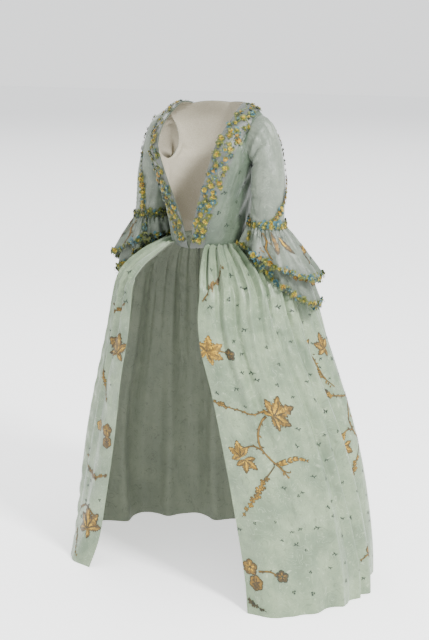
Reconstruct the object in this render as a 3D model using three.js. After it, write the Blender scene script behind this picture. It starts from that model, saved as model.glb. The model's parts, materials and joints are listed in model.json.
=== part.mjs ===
// An open-fronted English gown of the mid eighteenth century, in its worn form and empty: a fitted bodice
// that opens in a V, robings down both fronts, elbow sleeves with double flounces, and a pleated skirt that
// parts in front over wide hips. All sizes are in millimetres.
//
// The wearer faces -Y and the wearer's left is +X. Heights in the tables are above the floor; the whole gown is
// lowered at the end, so that the origin lies between the shoulder straps, where the wearer carries it.
// Every piece is worked out for the wearer's left side and mirrored for the right.

import * as THREE from "three";

// ---------- driving dimensions ----------

const SHOULDER_HEIGHT = 1383; // floor to the neck edge of the shoulder strap
const CLOTH = 1.4; // wall of one layer of silk with its backing
const SEAM = 0.3; // space between two pieces that are sewn together
const SIDES = [
  { name: "left", mirror: 1, trimPath: "trimLeft" },
  { name: "right", mirror: -1, trimPath: "trimRight" },
];

const SILK = { color: 0xa9b8ab, roughness: 0.55, metalness: 0.0 };
const FRINGE = { color: 0xb59a3a, roughness: 0.8, metalness: 0.0 };

// ---------- bodice ----------

// The armhole of the left side, from the underarm forward and over the shoulder.
const ARMHOLE = [
  { x: 150, y: -5, z: 1222 },
  { x: 152, y: -36, z: 1236 },
  { x: 153, y: -54, z: 1268 },
  { x: 154, y: -50, z: 1308 },
  { x: 158, y: -30, z: 1340 },
  { x: 165, y: 0, z: 1356 },
  { x: 161, y: 26, z: 1342 },
  { x: 154, y: 44, z: 1308 },
  { x: 149, y: 46, z: 1268 },
  { x: 149, y: 26, z: 1236 },
];

// Side seam of the left side, underarm to waist, in four equal shares.
const SIDE_SEAM = [
  { x: 150, y: -5, z: 1222 },
  { x: 136, y: 0, z: 1165 },
  { x: 125, y: 2, z: 1108 },
  { x: 118, y: 5, z: 1056 },
  { x: 116, y: 8, z: 1008 },
];

// Rows of the strap and the front, from the top of the shoulder down to the waist. `edge` is on the neckline or
// the front opening, `round` is the handle that rounds the row, and the row ends on the armhole at the share
// `arm` of its length, or on the side seam at the share `side`. `robing` is the width of the folded band along
// the edge.
const FRONT_ROWS = [
  { edge: [104, 2, 1385], round: [135, 2, 1379], arm: 0.5, robing: 50 },
  { edge: [106, -32, 1368], round: [134, -33, 1366], arm: 0.41, robing: 53 },
  { edge: [109, -64, 1345], round: [140, -64, 1339], arm: 0.35, robing: 56 },
  { edge: [105, -97, 1317], round: [147, -93, 1305], arm: 0.28, robing: 58 },
  { edge: [99, -121, 1285], round: [151, -116, 1272], arm: 0.2, robing: 58 },
  { edge: [92, -130, 1258], round: [152, -127, 1246], arm: 0.1, robing: 58 },
  { edge: [83, -131, 1232], round: [150, -130, 1224], arm: 0, side: 0, robing: 57 },
  { edge: [62, -129, 1175], round: [136, -128, 1168], side: 0.25, robing: 54 },
  { edge: [37, -124, 1112], round: [122, -124, 1109], side: 0.5, robing: 50 },
  { edge: [19, -118, 1056], round: [113, -118, 1054], side: 0.75, robing: 47 },
  { edge: [3, -112, 986], round: [105, -115, 996], side: 1, robing: 42 },
];
const STRAP_ROWS = 2; // rows of the shoulder strap, counting its seam with the back
const STRAP_ROBING = 46; // width of the robing at that seam

// Rows of the back, from the neckline and the strap's seam down to the waist.
const BACK_ROWS = [
  { centre: [0, 91, 1384], round: [118, 42, 1399], arm: 0.59 },
  { centre: [0, 105, 1346], round: [119, 99, 1352], arm: 0.67 },
  { centre: [0, 111, 1300], round: [129, 112, 1300], arm: 0.77 },
  { centre: [0, 112, 1255], round: [141, 114, 1252], arm: 0.88 },
  { centre: [0, 110, 1228], round: [147, 112, 1224], arm: 1, side: 0 },
  { centre: [0, 106, 1172], round: [134, 108, 1168], side: 0.25 },
  { centre: [0, 99, 1115], round: [122, 102, 1110], side: 0.5 },
  { centre: [0, 92, 1060], round: [113, 95, 1057], side: 0.75 },
  { centre: [0, 86, 1014], round: [105, 90, 1012], side: 1 },
];
const BACK_SEAM = { neck: 0.62, waist: 0.3 }; // curved side-back seam, as a share of each back row
const STRAP_ON_BACK = 0.5; // the strap joins the back's top row from here to the armhole

const ROWS_PER_SECTION = 2;
const ROBING_COLUMNS = [0, 0.2, 0.5, 0.8, 1]; // shares of the robing's width
const PANEL_COLUMNS = 4; // columns of the front outside the robing
const BACK_COLUMNS = 4; // columns of each back piece

// Each trimming is a strip of fly fringe: its wall, how far it lies outside the cloth below it, how high its
// blossoms stand, and what share of that height the thread between them has.
const ROBING_TRIM = { thickness: 1, gap: SEAM + 1, blossom: 4.5, thread: 0.35 };
const SLEEVE_TRIM = { thickness: 2, lift: 4, blossom: 3, halfWidth: 7 };
const CUFF_TRIM = { thickness: 1.2, lift: SEAM + 1.2, blossom: 4.4, thread: 0.3 };
const FLOUNCE_TRIM = { thickness: 1.2, lift: SEAM + 1.6, blossom: 4, thread: 0.3, width: 11, hang: 3 };

// ---------- sleeve, flounces ----------

// Rings of the left sleeve below the armhole: [x, z] of its inner and its outer side, the line of its axis from
// front to back, half its depth, and where the seam trimming crosses the ring on each arm, as a share of the
// way round from the underarm by the front.
const SLEEVE_RINGS = [
  { inner: [153, 1215], outer: [190, 1342], midY: -4, halfDepth: 51, trimLeft: 0.66, trimRight: 0.5 },
  { inner: [151, 1205], outer: [212, 1302], midY: -5, halfDepth: 52, trimLeft: 0.64, trimRight: 0.44 },
  { inner: [148, 1189], outer: [230, 1250], midY: -8, halfDepth: 50, trimLeft: 0.62, trimRight: 0.36 },
  { inner: [146, 1164], outer: [242, 1188], midY: -12, halfDepth: 48, trimLeft: 0.6, trimRight: 0.3 },
  { inner: [149, 1124], outer: [244, 1126], midY: -16, halfDepth: 46, trimLeft: 0.53, trimRight: 0.27 },
  { inner: [150, 1077], outer: [246, 1069], midY: -20, halfDepth: 48, trimLeft: 0.38, trimRight: 0.24 },
  { inner: [150, 1063], outer: [247, 1052], midY: -21, halfDepth: 49, trimLeft: 0.33, trimRight: 0.23 },
];
const SLEEVE_START = 0.6; // how far outside the armhole the sleeve begins
const SLEEVE_COLUMNS = 24;

// How the flounces fall. They lean out and back over `reach`, and flare and wave grow to full size there.
const FALL = {
  waves: 8,
  shallowAt: 0.08, // the crook of the elbow, where both flounces are shortest
  leanX: 15,
  leanY: 22,
  reach: 150,
  drop: 0.94, // height lost for each millimetre of cloth
  step: 5,
  bias: 1.15, // how long the flounce stays shallow on either side of the crook
  flareCurve: 0.85, // below 1, so that the flare opens soonest at the top
  waveGrowth: 1.2,
};

// Length at the crook and outside, flare and wave at full reach, distance outside the sleeve at the top, and
// distance from the skirt beside the body and outside it.
const OVER_SLEEVE = 2 * SEAM + CLOTH;
const FLOUNCES = [
  { name: "upper", shallow: 56, deep: 152, flare: 68, wave: 11, lift: OVER_SLEEVE, nearBody: 21, outside: 32 },
  { name: "lower", shallow: 68, deep: 238, flare: 38, wave: 10, lift: -0.2, nearBody: 31, outside: 12 },
];
const FLOUNCE_ROWS = { upper: [0, 0.3, 0.65, 1], lower: [0, 0.25, 0.5, 0.75, 1] };

// ---------- skirt ----------

// Levels of the skirt: height, half width, the front edge of the left side, and how far back it goes.
const SKIRT_ROWS = [
  { z: 992, halfWidth: 148, edgeX: 59, edgeY: -123, back: 112 },
  { z: 966, halfWidth: 196, edgeX: 76, edgeY: -160, back: 152 },
  { z: 932, halfWidth: 238, edgeX: 96, edgeY: -198, back: 190 },
  { z: 885, halfWidth: 268, edgeX: 113, edgeY: -224, back: 222 },
  { z: 820, halfWidth: 288, edgeX: 115, edgeY: -236, back: 250 },
  { z: 730, halfWidth: 315, edgeX: 127, edgeY: -238, back: 276 },
  { z: 620, halfWidth: 353, edgeX: 156, edgeY: -232, back: 292 },
  { z: 500, halfWidth: 395, edgeX: 180, edgeY: -224, back: 301 },
  { z: 370, halfWidth: 432, edgeX: 205, edgeY: -217, back: 307 },
  { z: 230, halfWidth: 462, edgeX: 233, edgeY: -215, back: 312 },
  { z: 100, halfWidth: 482, edgeX: 259, edgeY: -218, back: 318 },
  { z: 12, halfWidth: 486, edgeX: 283, edgeY: -240, back: 324 },
];
const WAIST = { z: 1008, halfWidth: 118, forward: 118, back: 74 }; // the oval of the waist seam
const SKIRT_MIDDLE_Y = 15; // the widest part of every level
const SKIRT_ROUNDNESS = 2.4; // exponent of the oval: 2 is an ellipse
const SKIRT_FROM = 0.34; // the skirt starts here along the front's waist row, outside the robing
const PLEATS = 22; // pleats on each side at the waist
const SKIRT_COLUMNS = 2 * PLEATS;
const SKIRT_PANELS = [
  { name: "front", from: 0, to: 16 },
  { name: "side", from: 16, to: 31 },
  { name: "back", from: 31, to: 44 },
];
const PLEAT_DEPTH = { waist: 3, hip: 5.5, hem: 1.5, curve: 1.5 };

// The pleats of the front die away below the hip, nearly flat at the front edge and full again further round.
const SMOOTH_FRONT = { below: 900, flat: 0.15, from: 0.08, width: 0.14 };
const CURVE_STEPS = 90; // points along a level before it is spaced evenly

// The largest folds of each half, as shares of the way from the front edge to the centre back: depth at the
// hem, outward if positive, and the height at which the fold begins.
const FOLDS = [
  { at: 0.07, width: 0.05, depth: 20, top: 220 },
  { at: 0.24, width: 0.08, depth: -18, top: 560 },
  { at: 0.4, width: 0.035, depth: 14, top: 900 },
  { at: 0.47, width: 0.035, depth: -42, top: 900 },
  { at: 0.56, width: 0.04, depth: 16, top: 880 },
  { at: 0.64, width: 0.03, depth: -26, top: 860 },
  { at: 0.72, width: 0.035, depth: 16, top: 880 },
  { at: 0.8, width: 0.03, depth: -26, top: 860 },
  { at: 0.88, width: 0.035, depth: 18, top: 880 },
  { at: 0.96, width: 0.03, depth: -22, top: 860 },
];

// ---------- helpers ----------

const vec = (a) => new THREE.Vector3(...a);
const mix = (a, b, t) => a + (b - a) * t;
const clamp01 = (t) => Math.min(1, Math.max(0, t));

// A smooth number through values v at whole steps of t.
function through(v, t) {
  const i = Math.min(v.length - 2, Math.max(0, Math.floor(t)));
  const f = t - i;
  const before = v[Math.max(0, i - 1)];
  const after = v[Math.min(v.length - 1, i + 2)];
  const m0 = (v[i + 1] - before) / 2;
  const m1 = (after - v[i]) / 2;
  const f2 = f * f;
  const f3 = f2 * f;
  const rise = 3 * f2 - 2 * f3;
  return v[i] * (1 - rise) + m0 * (f3 - 2 * f2 + f) + v[i + 1] * rise + m1 * (f3 - f2);
}

// The point at t, from 0 to 1, of the arch from a to b whose handle is c.
const arch = (a, c, b, t) => new THREE.QuadraticBezierCurve3(a, c, b).getPoint(t);

// A grid of points with the outward normal at each. Rows run down the garment and columns from the front round
// to the back, so rows crossed with columns point out of the left side.
function makeGrid(points, closed = false) {
  const rows = points.length;
  const columns = points[0].length;
  const normals = points.map((row, i) =>
    row.map((_, j) => {
      const below = points[Math.min(rows - 1, i + 1)][j];
      const down = new THREE.Vector3().subVectors(below, points[Math.max(0, i - 1)][j]);
      const next = closed ? (j + 1) % columns : Math.min(columns - 1, j + 1);
      const last = closed ? (j + columns - 1) % columns : Math.max(0, j - 1);
      const along = new THREE.Vector3().subVectors(row[next], row[last]);
      return down.cross(along).normalize();
    }),
  );
  return { points, normals, closed };
}

// Moves a point of a line of points towards its neighbour, so that two pieces cut from one grid stay apart.
function inset(point, neighbour, distance) {
  const way = new THREE.Vector3().subVectors(neighbour, point);
  return point.clone().addScaledVector(way.normalize(), distance);
}

// One piece of cloth, cut from a grid between two rows and two columns: a closed wall whose outer face lies
// `lift` outside the grid, with `relief` raised on that face only. A closed grid gives a tube. `bevel` draws
// the inner face back from an edge, where the next piece turns away from this one.
function cutPiece(grid, options = {}) {
  const { points, normals, closed } = grid;
  const { top = 0, bottom = points.length - 1, first = 0, last = points[0].length - 1 } = options;
  const { lift = 0, thickness = CLOTH, relief = () => 0, extend = 0, bevel = {} } = options;
  const rows = bottom - top + 1;
  const columns = closed ? points[0].length : last - first + 1;
  const outer = [];
  const inner = [];
  for (let i = 0; i < rows; i++) {
    for (let j = 0; j < columns; j++) {
      const row = top + i;
      const column = first + j;
      const n = normals[row][column];
      const place = (depth, extra) => {
        let p = points[row][column];
        if (i === 0) p = inset(p, points[row + 1][column], SEAM / 2 + (extra.top ?? 0));
        if (i === rows - 1) p = inset(p, points[row - 1][column], SEAM / 2 - extend + (extra.bottom ?? 0));
        if (!closed && j === 0) p = inset(p, points[row][column + 1], SEAM / 2 + (extra.first ?? 0));
        if (!closed && j === columns - 1) p = inset(p, points[row][column - 1], SEAM / 2 + (extra.last ?? 0));
        return p.clone().addScaledVector(n, depth);
      };
      outer.push(place(lift + relief(i, j, rows, columns), {}));
      inner.push(place(lift - thickness, bevel));
    }
  }
  return closeWall(outer, inner, rows, columns, closed);
}

// The closed surface of a wall from its outer and inner points.
function closeWall(outer, inner, rows, columns, closed) {
  const behind = outer.length;
  const at = (i, j) => i * columns + (j % columns);
  const index = [];
  const quad = (a, b, c, d) => index.push(a, b, c, a, c, d);
  const spans = closed ? columns : columns - 1;
  for (let i = 0; i < rows - 1; i++) {
    for (let j = 0; j < spans; j++) {
      const [a, b, c, d] = [at(i, j), at(i + 1, j), at(i + 1, j + 1), at(i, j + 1)];
      quad(a, b, c, d);
      index.push(behind + a, behind + c, behind + b, behind + a, behind + d, behind + c);
    }
    if (!closed) {
      const [a, b] = [at(i, 0), at(i + 1, 0)];
      quad(a, behind + a, behind + b, b);
      const [c, d] = [at(i, columns - 1), at(i + 1, columns - 1)];
      quad(c, d, behind + d, behind + c);
    }
  }
  for (let j = 0; j < spans; j++) {
    const [a, d] = [at(0, j), at(0, j + 1)];
    quad(a, d, behind + d, behind + a);
    const [b, c] = [at(rows - 1, j), at(rows - 1, j + 1)];
    quad(b, behind + b, behind + c, c);
  }
  const geometry = new THREE.BufferGeometry();
  const all = [...outer, ...inner].flatMap((p) => [p.x, p.y, p.z]);
  geometry.setAttribute("position", new THREE.Float32BufferAttribute(all, 3));
  geometry.setIndex(index);
  geometry.computeVertexNormals();
  return geometry;
}

const silk = new THREE.MeshStandardMaterial(SILK);
const fringe = new THREE.MeshStandardMaterial(FRINGE);
const gown = new THREE.Group();
gown.position.z = -SHOULDER_HEIGHT;

// Adds a piece to the gown. A piece of the right side is the mirror image, with its faces turned round.
function addPiece(name, geometry, material, side) {
  if (side.mirror < 0) {
    geometry.scale(-1, 1, 1);
    const index = geometry.getIndex().array;
    for (let i = 0; i < index.length; i += 3) [index[i + 1], index[i + 2]] = [index[i + 2], index[i + 1]];
    geometry.computeVertexNormals();
  }
  const mesh = new THREE.Mesh(geometry, material);
  mesh.name = `${name}_${side.name}`;
  gown.add(mesh);
}

// ---------- bodice pieces ----------

const armhole = new THREE.CatmullRomCurve3(
  ARMHOLE.map((p) => new THREE.Vector3(p.x, p.y, p.z)),
  true,
);

const sideSeam = new THREE.CatmullRomCurve3(SIDE_SEAM.map((p) => new THREE.Vector3(p.x, p.y, p.z)));

// The end of a row at any place s between the rows of a table: on the armhole, or else on the side seam.
function rowEnd(rows, s) {
  const i = Math.min(rows.length - 2, Math.floor(s));
  const [above, below] = [rows[i], rows[i + 1]];
  const onArmhole = above.arm !== undefined && below.arm !== undefined;
  if (onArmhole) return armhole.getPointAt(mix(above.arm, below.arm, s - i));
  return sideSeam.getPoint(mix(above.side, below.side, s - i));
}

// The strap's back seam is the outer part of the back's top row.
function strapSeam() {
  const row = BACK_ROWS[0];
  const end = rowEnd(BACK_ROWS, 0);
  const edge = arch(vec(row.centre), vec(row.round), end, STRAP_ON_BACK);
  const round = vec(row.round).lerp(end, STRAP_ON_BACK);
  return { edge: edge.toArray(), round: round.toArray(), arm: row.arm, robing: STRAP_ROBING };
}

// The three points that shape a row, at any place s between the rows of a table.
function rowShape(rows, start, s) {
  const value = (pick) => through(rows.map(pick), s);
  const point = (pick) => new THREE.Vector3(...[0, 1, 2].map((k) => value((row) => pick(row)[k])));
  return {
    start: point((row) => row[start]),
    handle: point((row) => row.round),
    end: rowEnd(rows, s),
    robing: value((row) => row.robing ?? 0),
  };
}

// The strap and front as one grid: the robing's columns first, then the panel's.
function frontGrid() {
  const rows = [strapSeam(), ...FRONT_ROWS];
  const steps = (rows.length - 1) * ROWS_PER_SECTION;
  const points = [];
  for (let k = 0; k <= steps; k++) {
    const shape = rowShape(rows, "edge", k / ROWS_PER_SECTION);
    const row = new THREE.QuadraticBezierCurve3(shape.start, shape.handle, shape.end);
    const band = shape.robing / row.getLength();
    const shares = ROBING_COLUMNS.map((c) => c * band);
    for (let j = 1; j <= PANEL_COLUMNS; j++) shares.push(mix(band, 1, j / PANEL_COLUMNS));
    points.push(shares.map((t) => row.getPointAt(t)));
  }
  return sideSeamNormals(makeGrid(points), points[0].length - 1);
}

// The back as one grid, from the side seam and armhole round to the centre back.
function backGrid() {
  const points = [];
  const steps = (BACK_ROWS.length - 1) * ROWS_PER_SECTION;
  for (let k = 0; k <= steps; k++) {
    const shape = rowShape(BACK_ROWS, "centre", k / ROWS_PER_SECTION);
    const seam = mix(BACK_SEAM.neck, BACK_SEAM.waist, k / steps);
    const shares = [];
    for (let j = 0; j <= BACK_COLUMNS; j++) shares.push(mix(1, seam, j / BACK_COLUMNS));
    for (let j = 1; j <= BACK_COLUMNS; j++) shares.push(mix(seam, 0, j / BACK_COLUMNS));
    points.push(shares.map((t) => arch(shape.start, shape.handle, shape.end, t)));
  }
  return centreNormals(sideSeamNormals(makeGrid(points), 0));
}

// At the side seam the front and the back share the same normals, straight out to the side.
function sideSeamNormals(grid, column) {
  grid.points.forEach((row, i) => {
    if (row[column].z <= SIDE_SEAM[0].z) grid.normals[i][column].setY(0).normalize();
  });
  return grid;
}

// At the centre back both halves share the same normals, straight back.
function centreNormals(grid) {
  for (const row of grid.normals) row[row.length - 1].setX(0).normalize();
  return grid;
}

// Raised blossoms of the fly fringe, swinging from one side of the strip to the other.
function swinging({ blossom, thread }) {
  return (i, j) => {
    const swing = [0, 1, 2, 1][i % 4];
    return j === swing ? blossom : blossom * thread;
  };
}

// Raised blossoms of the fly fringe on every second column.
const ringed = ({ blossom, thread }) => (i, j) => blossom * (j % 2 ? thread : 1);

function addBodice(side) {
  const front = frontGrid();
  const strapBottom = STRAP_ROWS * ROWS_PER_SECTION;
  const robingEdge = ROBING_COLUMNS.length - 1;
  addPiece("shoulder_strap", cutPiece(front, { bottom: strapBottom, bevel: { top: 1 } }), silk, side);
  addPiece("front", cutPiece(front, { top: strapBottom }), silk, side);
  const robingLift = SEAM + CLOTH;
  addPiece("robing", cutPiece(front, { last: robingEdge, lift: robingLift }), silk, side);
  const lift = robingLift + ROBING_TRIM.gap;
  const trim = { ...ROBING_TRIM, first: 1, last: robingEdge - 1, lift, relief: swinging(ROBING_TRIM) };
  addPiece("robing_trim", cutPiece(front, trim), fringe, side);
  const back = backGrid();
  addPiece("side_back", cutPiece(back, { last: BACK_COLUMNS }), silk, side);
  addPiece("back", cutPiece(back, { first: BACK_COLUMNS }), silk, side);
}

// ---------- sleeve pieces ----------

// A point of the sleeve, by ring (0 is the armhole) and share of the way round.
function sleevePoint(ring, share) {
  if (ring === 0) return armhole.getPointAt(share % 1).add(new THREE.Vector3(SLEEVE_START, 0, 0));
  const r = SLEEVE_RINGS[ring - 1];
  const outward = (1 - Math.cos(2 * Math.PI * share)) / 2;
  const y = r.midY - r.halfDepth * Math.sin(2 * Math.PI * share);
  return new THREE.Vector3(mix(r.inner[0], r.outer[0], outward), y, mix(r.inner[1], r.outer[1], outward));
}

function sleeveGrid() {
  const points = [];
  for (let ring = 0; ring <= SLEEVE_RINGS.length; ring++) {
    const row = [];
    for (let j = 0; j < SLEEVE_COLUMNS; j++) row.push(sleevePoint(ring, j / SLEEVE_COLUMNS));
    points.push(row);
  }
  return makeGrid(points, true);
}

// Pushes a point of a flounce straight out to lie on the skirt where it would be inside it.
function clearOfSkirt(p, margin) {
  if (p.z > WAIST.z) return p;
  const levels = [WAIST, ...SKIRT_ROWS.map((row) => ({ ...row, forward: skirtForward(row) }))];
  let i = 1;
  while (levels[i].z > p.z) i++;
  const t = (levels[i - 1].z - p.z) / (levels[i - 1].z - levels[i].z);
  const size = (pick) => mix(levels[i - 1][pick], levels[i][pick], t) + margin;
  const back = p.y - SKIRT_MIDDLE_Y;
  const ratio = [p.x / size("halfWidth"), back / size(back > 0 ? "back" : "forward")];
  const sum = ratio.reduce((total, r) => total + Math.pow(Math.abs(r), SKIRT_ROUNDNESS), 0);
  const reach = Math.pow(sum, 1 / SKIRT_ROUNDNESS);
  if (reach < 1) p.set(p.x / reach, SKIRT_MIDDLE_Y + back / reach, p.z);
  return p;
}

// The line that a flounce follows as it falls from one point of the sleeve's end: it leans out and back, and
// slides off the hip where it meets the skirt. `length` is measured along the cloth.
function fallLine(start, out, wave, length, flounce) {
  const shape = (drop) => {
    const t = drop / FALL.reach;
    const flare = flounce.flare * Math.pow(t, FALL.flareCurve);
    const spread = flare + flounce.wave * Math.min(1, t * FALL.waveGrowth) * wave;
    const lean = new THREE.Vector3(FALL.leanX * t, FALL.leanY * t, -FALL.drop * drop);
    return lean.addScaledVector(out, spread);
  };
  const clearance = mix(flounce.nearBody, flounce.outside, clamp01(0.5 + out.x));
  const steps = Math.ceil(length / FALL.step);
  const line = [start.clone()];
  for (let k = 1; k <= steps; k++) {
    const last = line[k - 1];
    const move = shape((k / steps) * length).sub(shape(((k - 1) / steps) * length));
    const next = clearOfSkirt(last.clone().add(move), clearance);
    next.sub(last).setLength(move.length()).add(last);
    line.push(clearOfSkirt(next, clearance));
  }
  return (share) => {
    const k = Math.min(steps - 1, Math.floor(share * steps));
    return line[k].clone().lerp(line[k + 1], share * steps - k);
  };
}

// A flounce hangs round the sleeve's end ring, shortest at the crook of the elbow. The upper one is sewn on
// outside the sleeve and the lower one just below its edge.
function flounceGrid(flounce) {
  const cuff = SLEEVE_RINGS.length;
  const centre = sleevePoint(cuff, 0).add(sleevePoint(cuff, 0.5)).multiplyScalar(0.5);
  const levels = [...FLOUNCE_ROWS[flounce.name], 1];
  const isUpper = flounce.name === "upper";
  const rows = Array.from({ length: levels.length + (isUpper ? 1 : 0) }, () => []);
  for (let j = 0; j < SLEEVE_COLUMNS; j++) {
    const share = j / SLEEVE_COLUMNS;
    const edge = sleevePoint(cuff, share);
    const out = new THREE.Vector3(edge.x - centre.x, edge.y - centre.y, 0).normalize();
    const open = (1 - Math.cos(2 * Math.PI * (share - FALL.shallowAt))) / 2;
    const length = mix(flounce.shallow, flounce.deep, Math.pow(open, FALL.bias));
    const wave = Math.cos(2 * Math.PI * FALL.waves * share);
    const start = edge.clone().addScaledVector(out, flounce.lift);
    if (!isUpper) start.z -= 2 * SEAM;
    const at = fallLine(start, out, wave, length, flounce);
    const column = levels.map((row) => at(row * (1 - FLOUNCE_TRIM.width / length)));
    column[column.length - 1] = at(1);
    if (isUpper) column.unshift(sleevePoint(cuff - 1, share).addScaledVector(out, flounce.lift));
    column.forEach((p, i) => rows[i].push(p));
  }
  return makeGrid(rows, true);
}

// The strip of trimming down the sleeve, on the sleeve's own surface.
function sleeveTrimGrid(path) {
  const steps = 3 * (SLEEVE_RINGS.length - 2);
  const rings = SLEEVE_RINGS.map((_, k) => k + 1);
  const points = [];
  for (let k = 0; k <= steps; k++) {
    const s = (k / steps) * (SLEEVE_RINGS.length - 2);
    const share = through(SLEEVE_RINGS.map((r) => r[path]), s);
    const row = [-1, 0, 1].map((c) => {
      const turn = share + (c * SLEEVE_TRIM.halfWidth) / (2 * Math.PI * SLEEVE_RINGS[0].halfDepth);
      const column = rings.map((ring) => sleevePoint(ring, turn));
      return new THREE.Vector3(...["x", "y", "z"].map((axis) => through(column.map((p) => p[axis]), s)));
    });
    points.push(row);
  }
  return makeGrid(points);
}

function addSleeve(side) {
  addPiece("sleeve", cutPiece(sleeveGrid()), silk, side);
  const everySecond = (i, j) => (j === 1 && i % 2 === 0 ? SLEEVE_TRIM.blossom : 0);
  const seamTrim = cutPiece(sleeveTrimGrid(side.trimPath), { ...SLEEVE_TRIM, relief: everySecond });
  addPiece("sleeve_trim", seamTrim, fringe, side);
  for (const flounce of FLOUNCES) {
    const grid = flounceGrid(flounce);
    const bottom = grid.points.length - 1;
    addPiece(`flounce_${flounce.name}`, cutPiece(grid), silk, side);
    const hang = { top: bottom - 1, extend: FLOUNCE_TRIM.hang };
    const edge = { ...FLOUNCE_TRIM, ...hang, relief: ringed(FLOUNCE_TRIM) };
    addPiece(`flounce_${flounce.name}_trim`, cutPiece(grid, edge), fringe, side);
    if (flounce.name === "upper") {
      const cuff = { ...CUFF_TRIM, bottom: 1, relief: ringed(CUFF_TRIM) };
      addPiece("cuff_trim", cutPiece(grid, cuff), fringe, side);
    }
  }
}

// ---------- skirt pieces ----------

// The waist seam of the left half, from the skirt's front edge to the centre back, by share of its length.
function waistCurve() {
  const front = rowShape(FRONT_ROWS, "edge", FRONT_ROWS.length - 1);
  const back = rowShape(BACK_ROWS, "centre", BACK_ROWS.length - 1);
  const points = [];
  for (let k = 0; k <= CURVE_STEPS; k++) {
    points.push(arch(front.start, front.handle, front.end, mix(SKIRT_FROM, 1, k / CURVE_STEPS)));
  }
  for (let k = 1; k <= CURVE_STEPS; k++) {
    points.push(arch(back.start, back.handle, back.end, 1 - k / CURVE_STEPS));
  }
  return evenly(points);
}

// Turns a line of close points into a function of the share of its length.
function evenly(points) {
  const reach = [0];
  for (let k = 1; k < points.length; k++) reach.push(reach[k - 1] + points[k].distanceTo(points[k - 1]));
  const total = reach[reach.length - 1];
  return (share) => {
    const d = clamp01(share) * total;
    let k = 1;
    while (k < points.length - 1 && reach[k] < d) k++;
    return points[k - 1].clone().lerp(points[k], (d - reach[k - 1]) / (reach[k] - reach[k - 1]));
  };
}

// How far forward the oval of a level reaches, so that it passes through the level's front edge.
function skirtForward(row) {
  const edge = Math.pow(row.edgeX / row.halfWidth, SKIRT_ROUNDNESS);
  return (SKIRT_MIDDLE_Y - row.edgeY) / Math.pow(1 - edge, 1 / SKIRT_ROUNDNESS);
}

// One level of the left half of the skirt: an oval from the front edge to the centre back.
function skirtLevel(row) {
  const n = SKIRT_ROUNDNESS;
  const edge = Math.pow(row.edgeX / row.halfWidth, n);
  const forward = skirtForward(row);
  const start = Math.asin(Math.sqrt(edge));
  const points = [];
  for (let k = 0; k <= CURVE_STEPS; k++) {
    const angle = mix(start, Math.PI, k / CURVE_STEPS);
    const x = row.halfWidth * Math.pow(Math.abs(Math.sin(angle)), 2 / n);
    const c = Math.cos(angle);
    const reach = c > 0 ? forward : row.back;
    const y = SKIRT_MIDDLE_Y - Math.sign(c) * reach * Math.pow(Math.abs(c), 2 / n);
    points.push(new THREE.Vector3(k === CURVE_STEPS ? 0 : x, y, row.z));
  }
  return evenly(points);
}

// How far pleats and folds stand out of the smooth skirt.
function skirtRelief(column, z) {
  const share = column / SKIRT_COLUMNS;
  const { waist, hip, hem, curve } = PLEAT_DEPTH;
  const top = SKIRT_ROWS[1].z;
  const aboveHip = mix(hip, waist, (z - top) / (WAIST.z - top));
  const depth = z > top ? aboveHip : mix(hem, hip, Math.pow(z / top, curve));
  const { below, flat, from, width } = SMOOTH_FRONT;
  const fullness = z > below ? 1 : clamp01(mix(flat, 1, (share - from) / width));
  const pleat = depth * fullness * (column % 2 ? -1 : 1);
  let folds = 0;
  for (const f of FOLDS) {
    const grown = clamp01((f.top - z) / (f.top - SKIRT_ROWS[SKIRT_ROWS.length - 1].z));
    folds += f.depth * grown * Math.exp(-Math.pow((share - f.at) / f.width, 2));
  }
  return pleat + folds;
}

function skirtGrid() {
  const waist = waistCurve();
  const levels = SKIRT_ROWS.map(skirtLevel);
  const smooth = [];
  for (let i = 0; i <= levels.length; i++) {
    const row = [];
    for (let j = 0; j <= SKIRT_COLUMNS; j++) {
      const share = j / SKIRT_COLUMNS;
      const below = new THREE.Vector3(0, 0, -2 * SEAM);
      row.push(i === 0 ? waist(share).add(below) : levels[i - 1](share));
    }
    smooth.push(row);
  }
  const base = makeGrid(smooth);
  const points = smooth.map((row, i) =>
    row.map((p, j) => {
      const normal = base.normals[i][j].clone();
      if (i === 0) normal.setZ(0).normalize();
      const moved = p.clone().addScaledVector(normal, skirtRelief(j, p.z));
      if (j === SKIRT_COLUMNS) moved.x = 0;
      return moved;
    }),
  );
  return centreNormals(makeGrid(points));
}

function addSkirt(side) {
  const grid = skirtGrid();
  for (const panel of SKIRT_PANELS) {
    addPiece(`skirt_${panel.name}`, cutPiece(grid, { first: panel.from, last: panel.to }), silk, side);
  }
}

for (const side of SIDES) {
  addBodice(side);
  addSleeve(side);
  addSkirt(side);
}

export default gown;
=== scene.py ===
"""An open-fronted English gown in brocaded green silk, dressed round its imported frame.

The tables are in millimetres, with heights above the floor and the wearer's left at +X. Each cloth is a
Sheet: a grid of points whose rows run down the garment and whose columns run from the front round to the
back. What is sewn or woven on a cloth is placed by millimetres along its rows and down its columns.
"""

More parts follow.
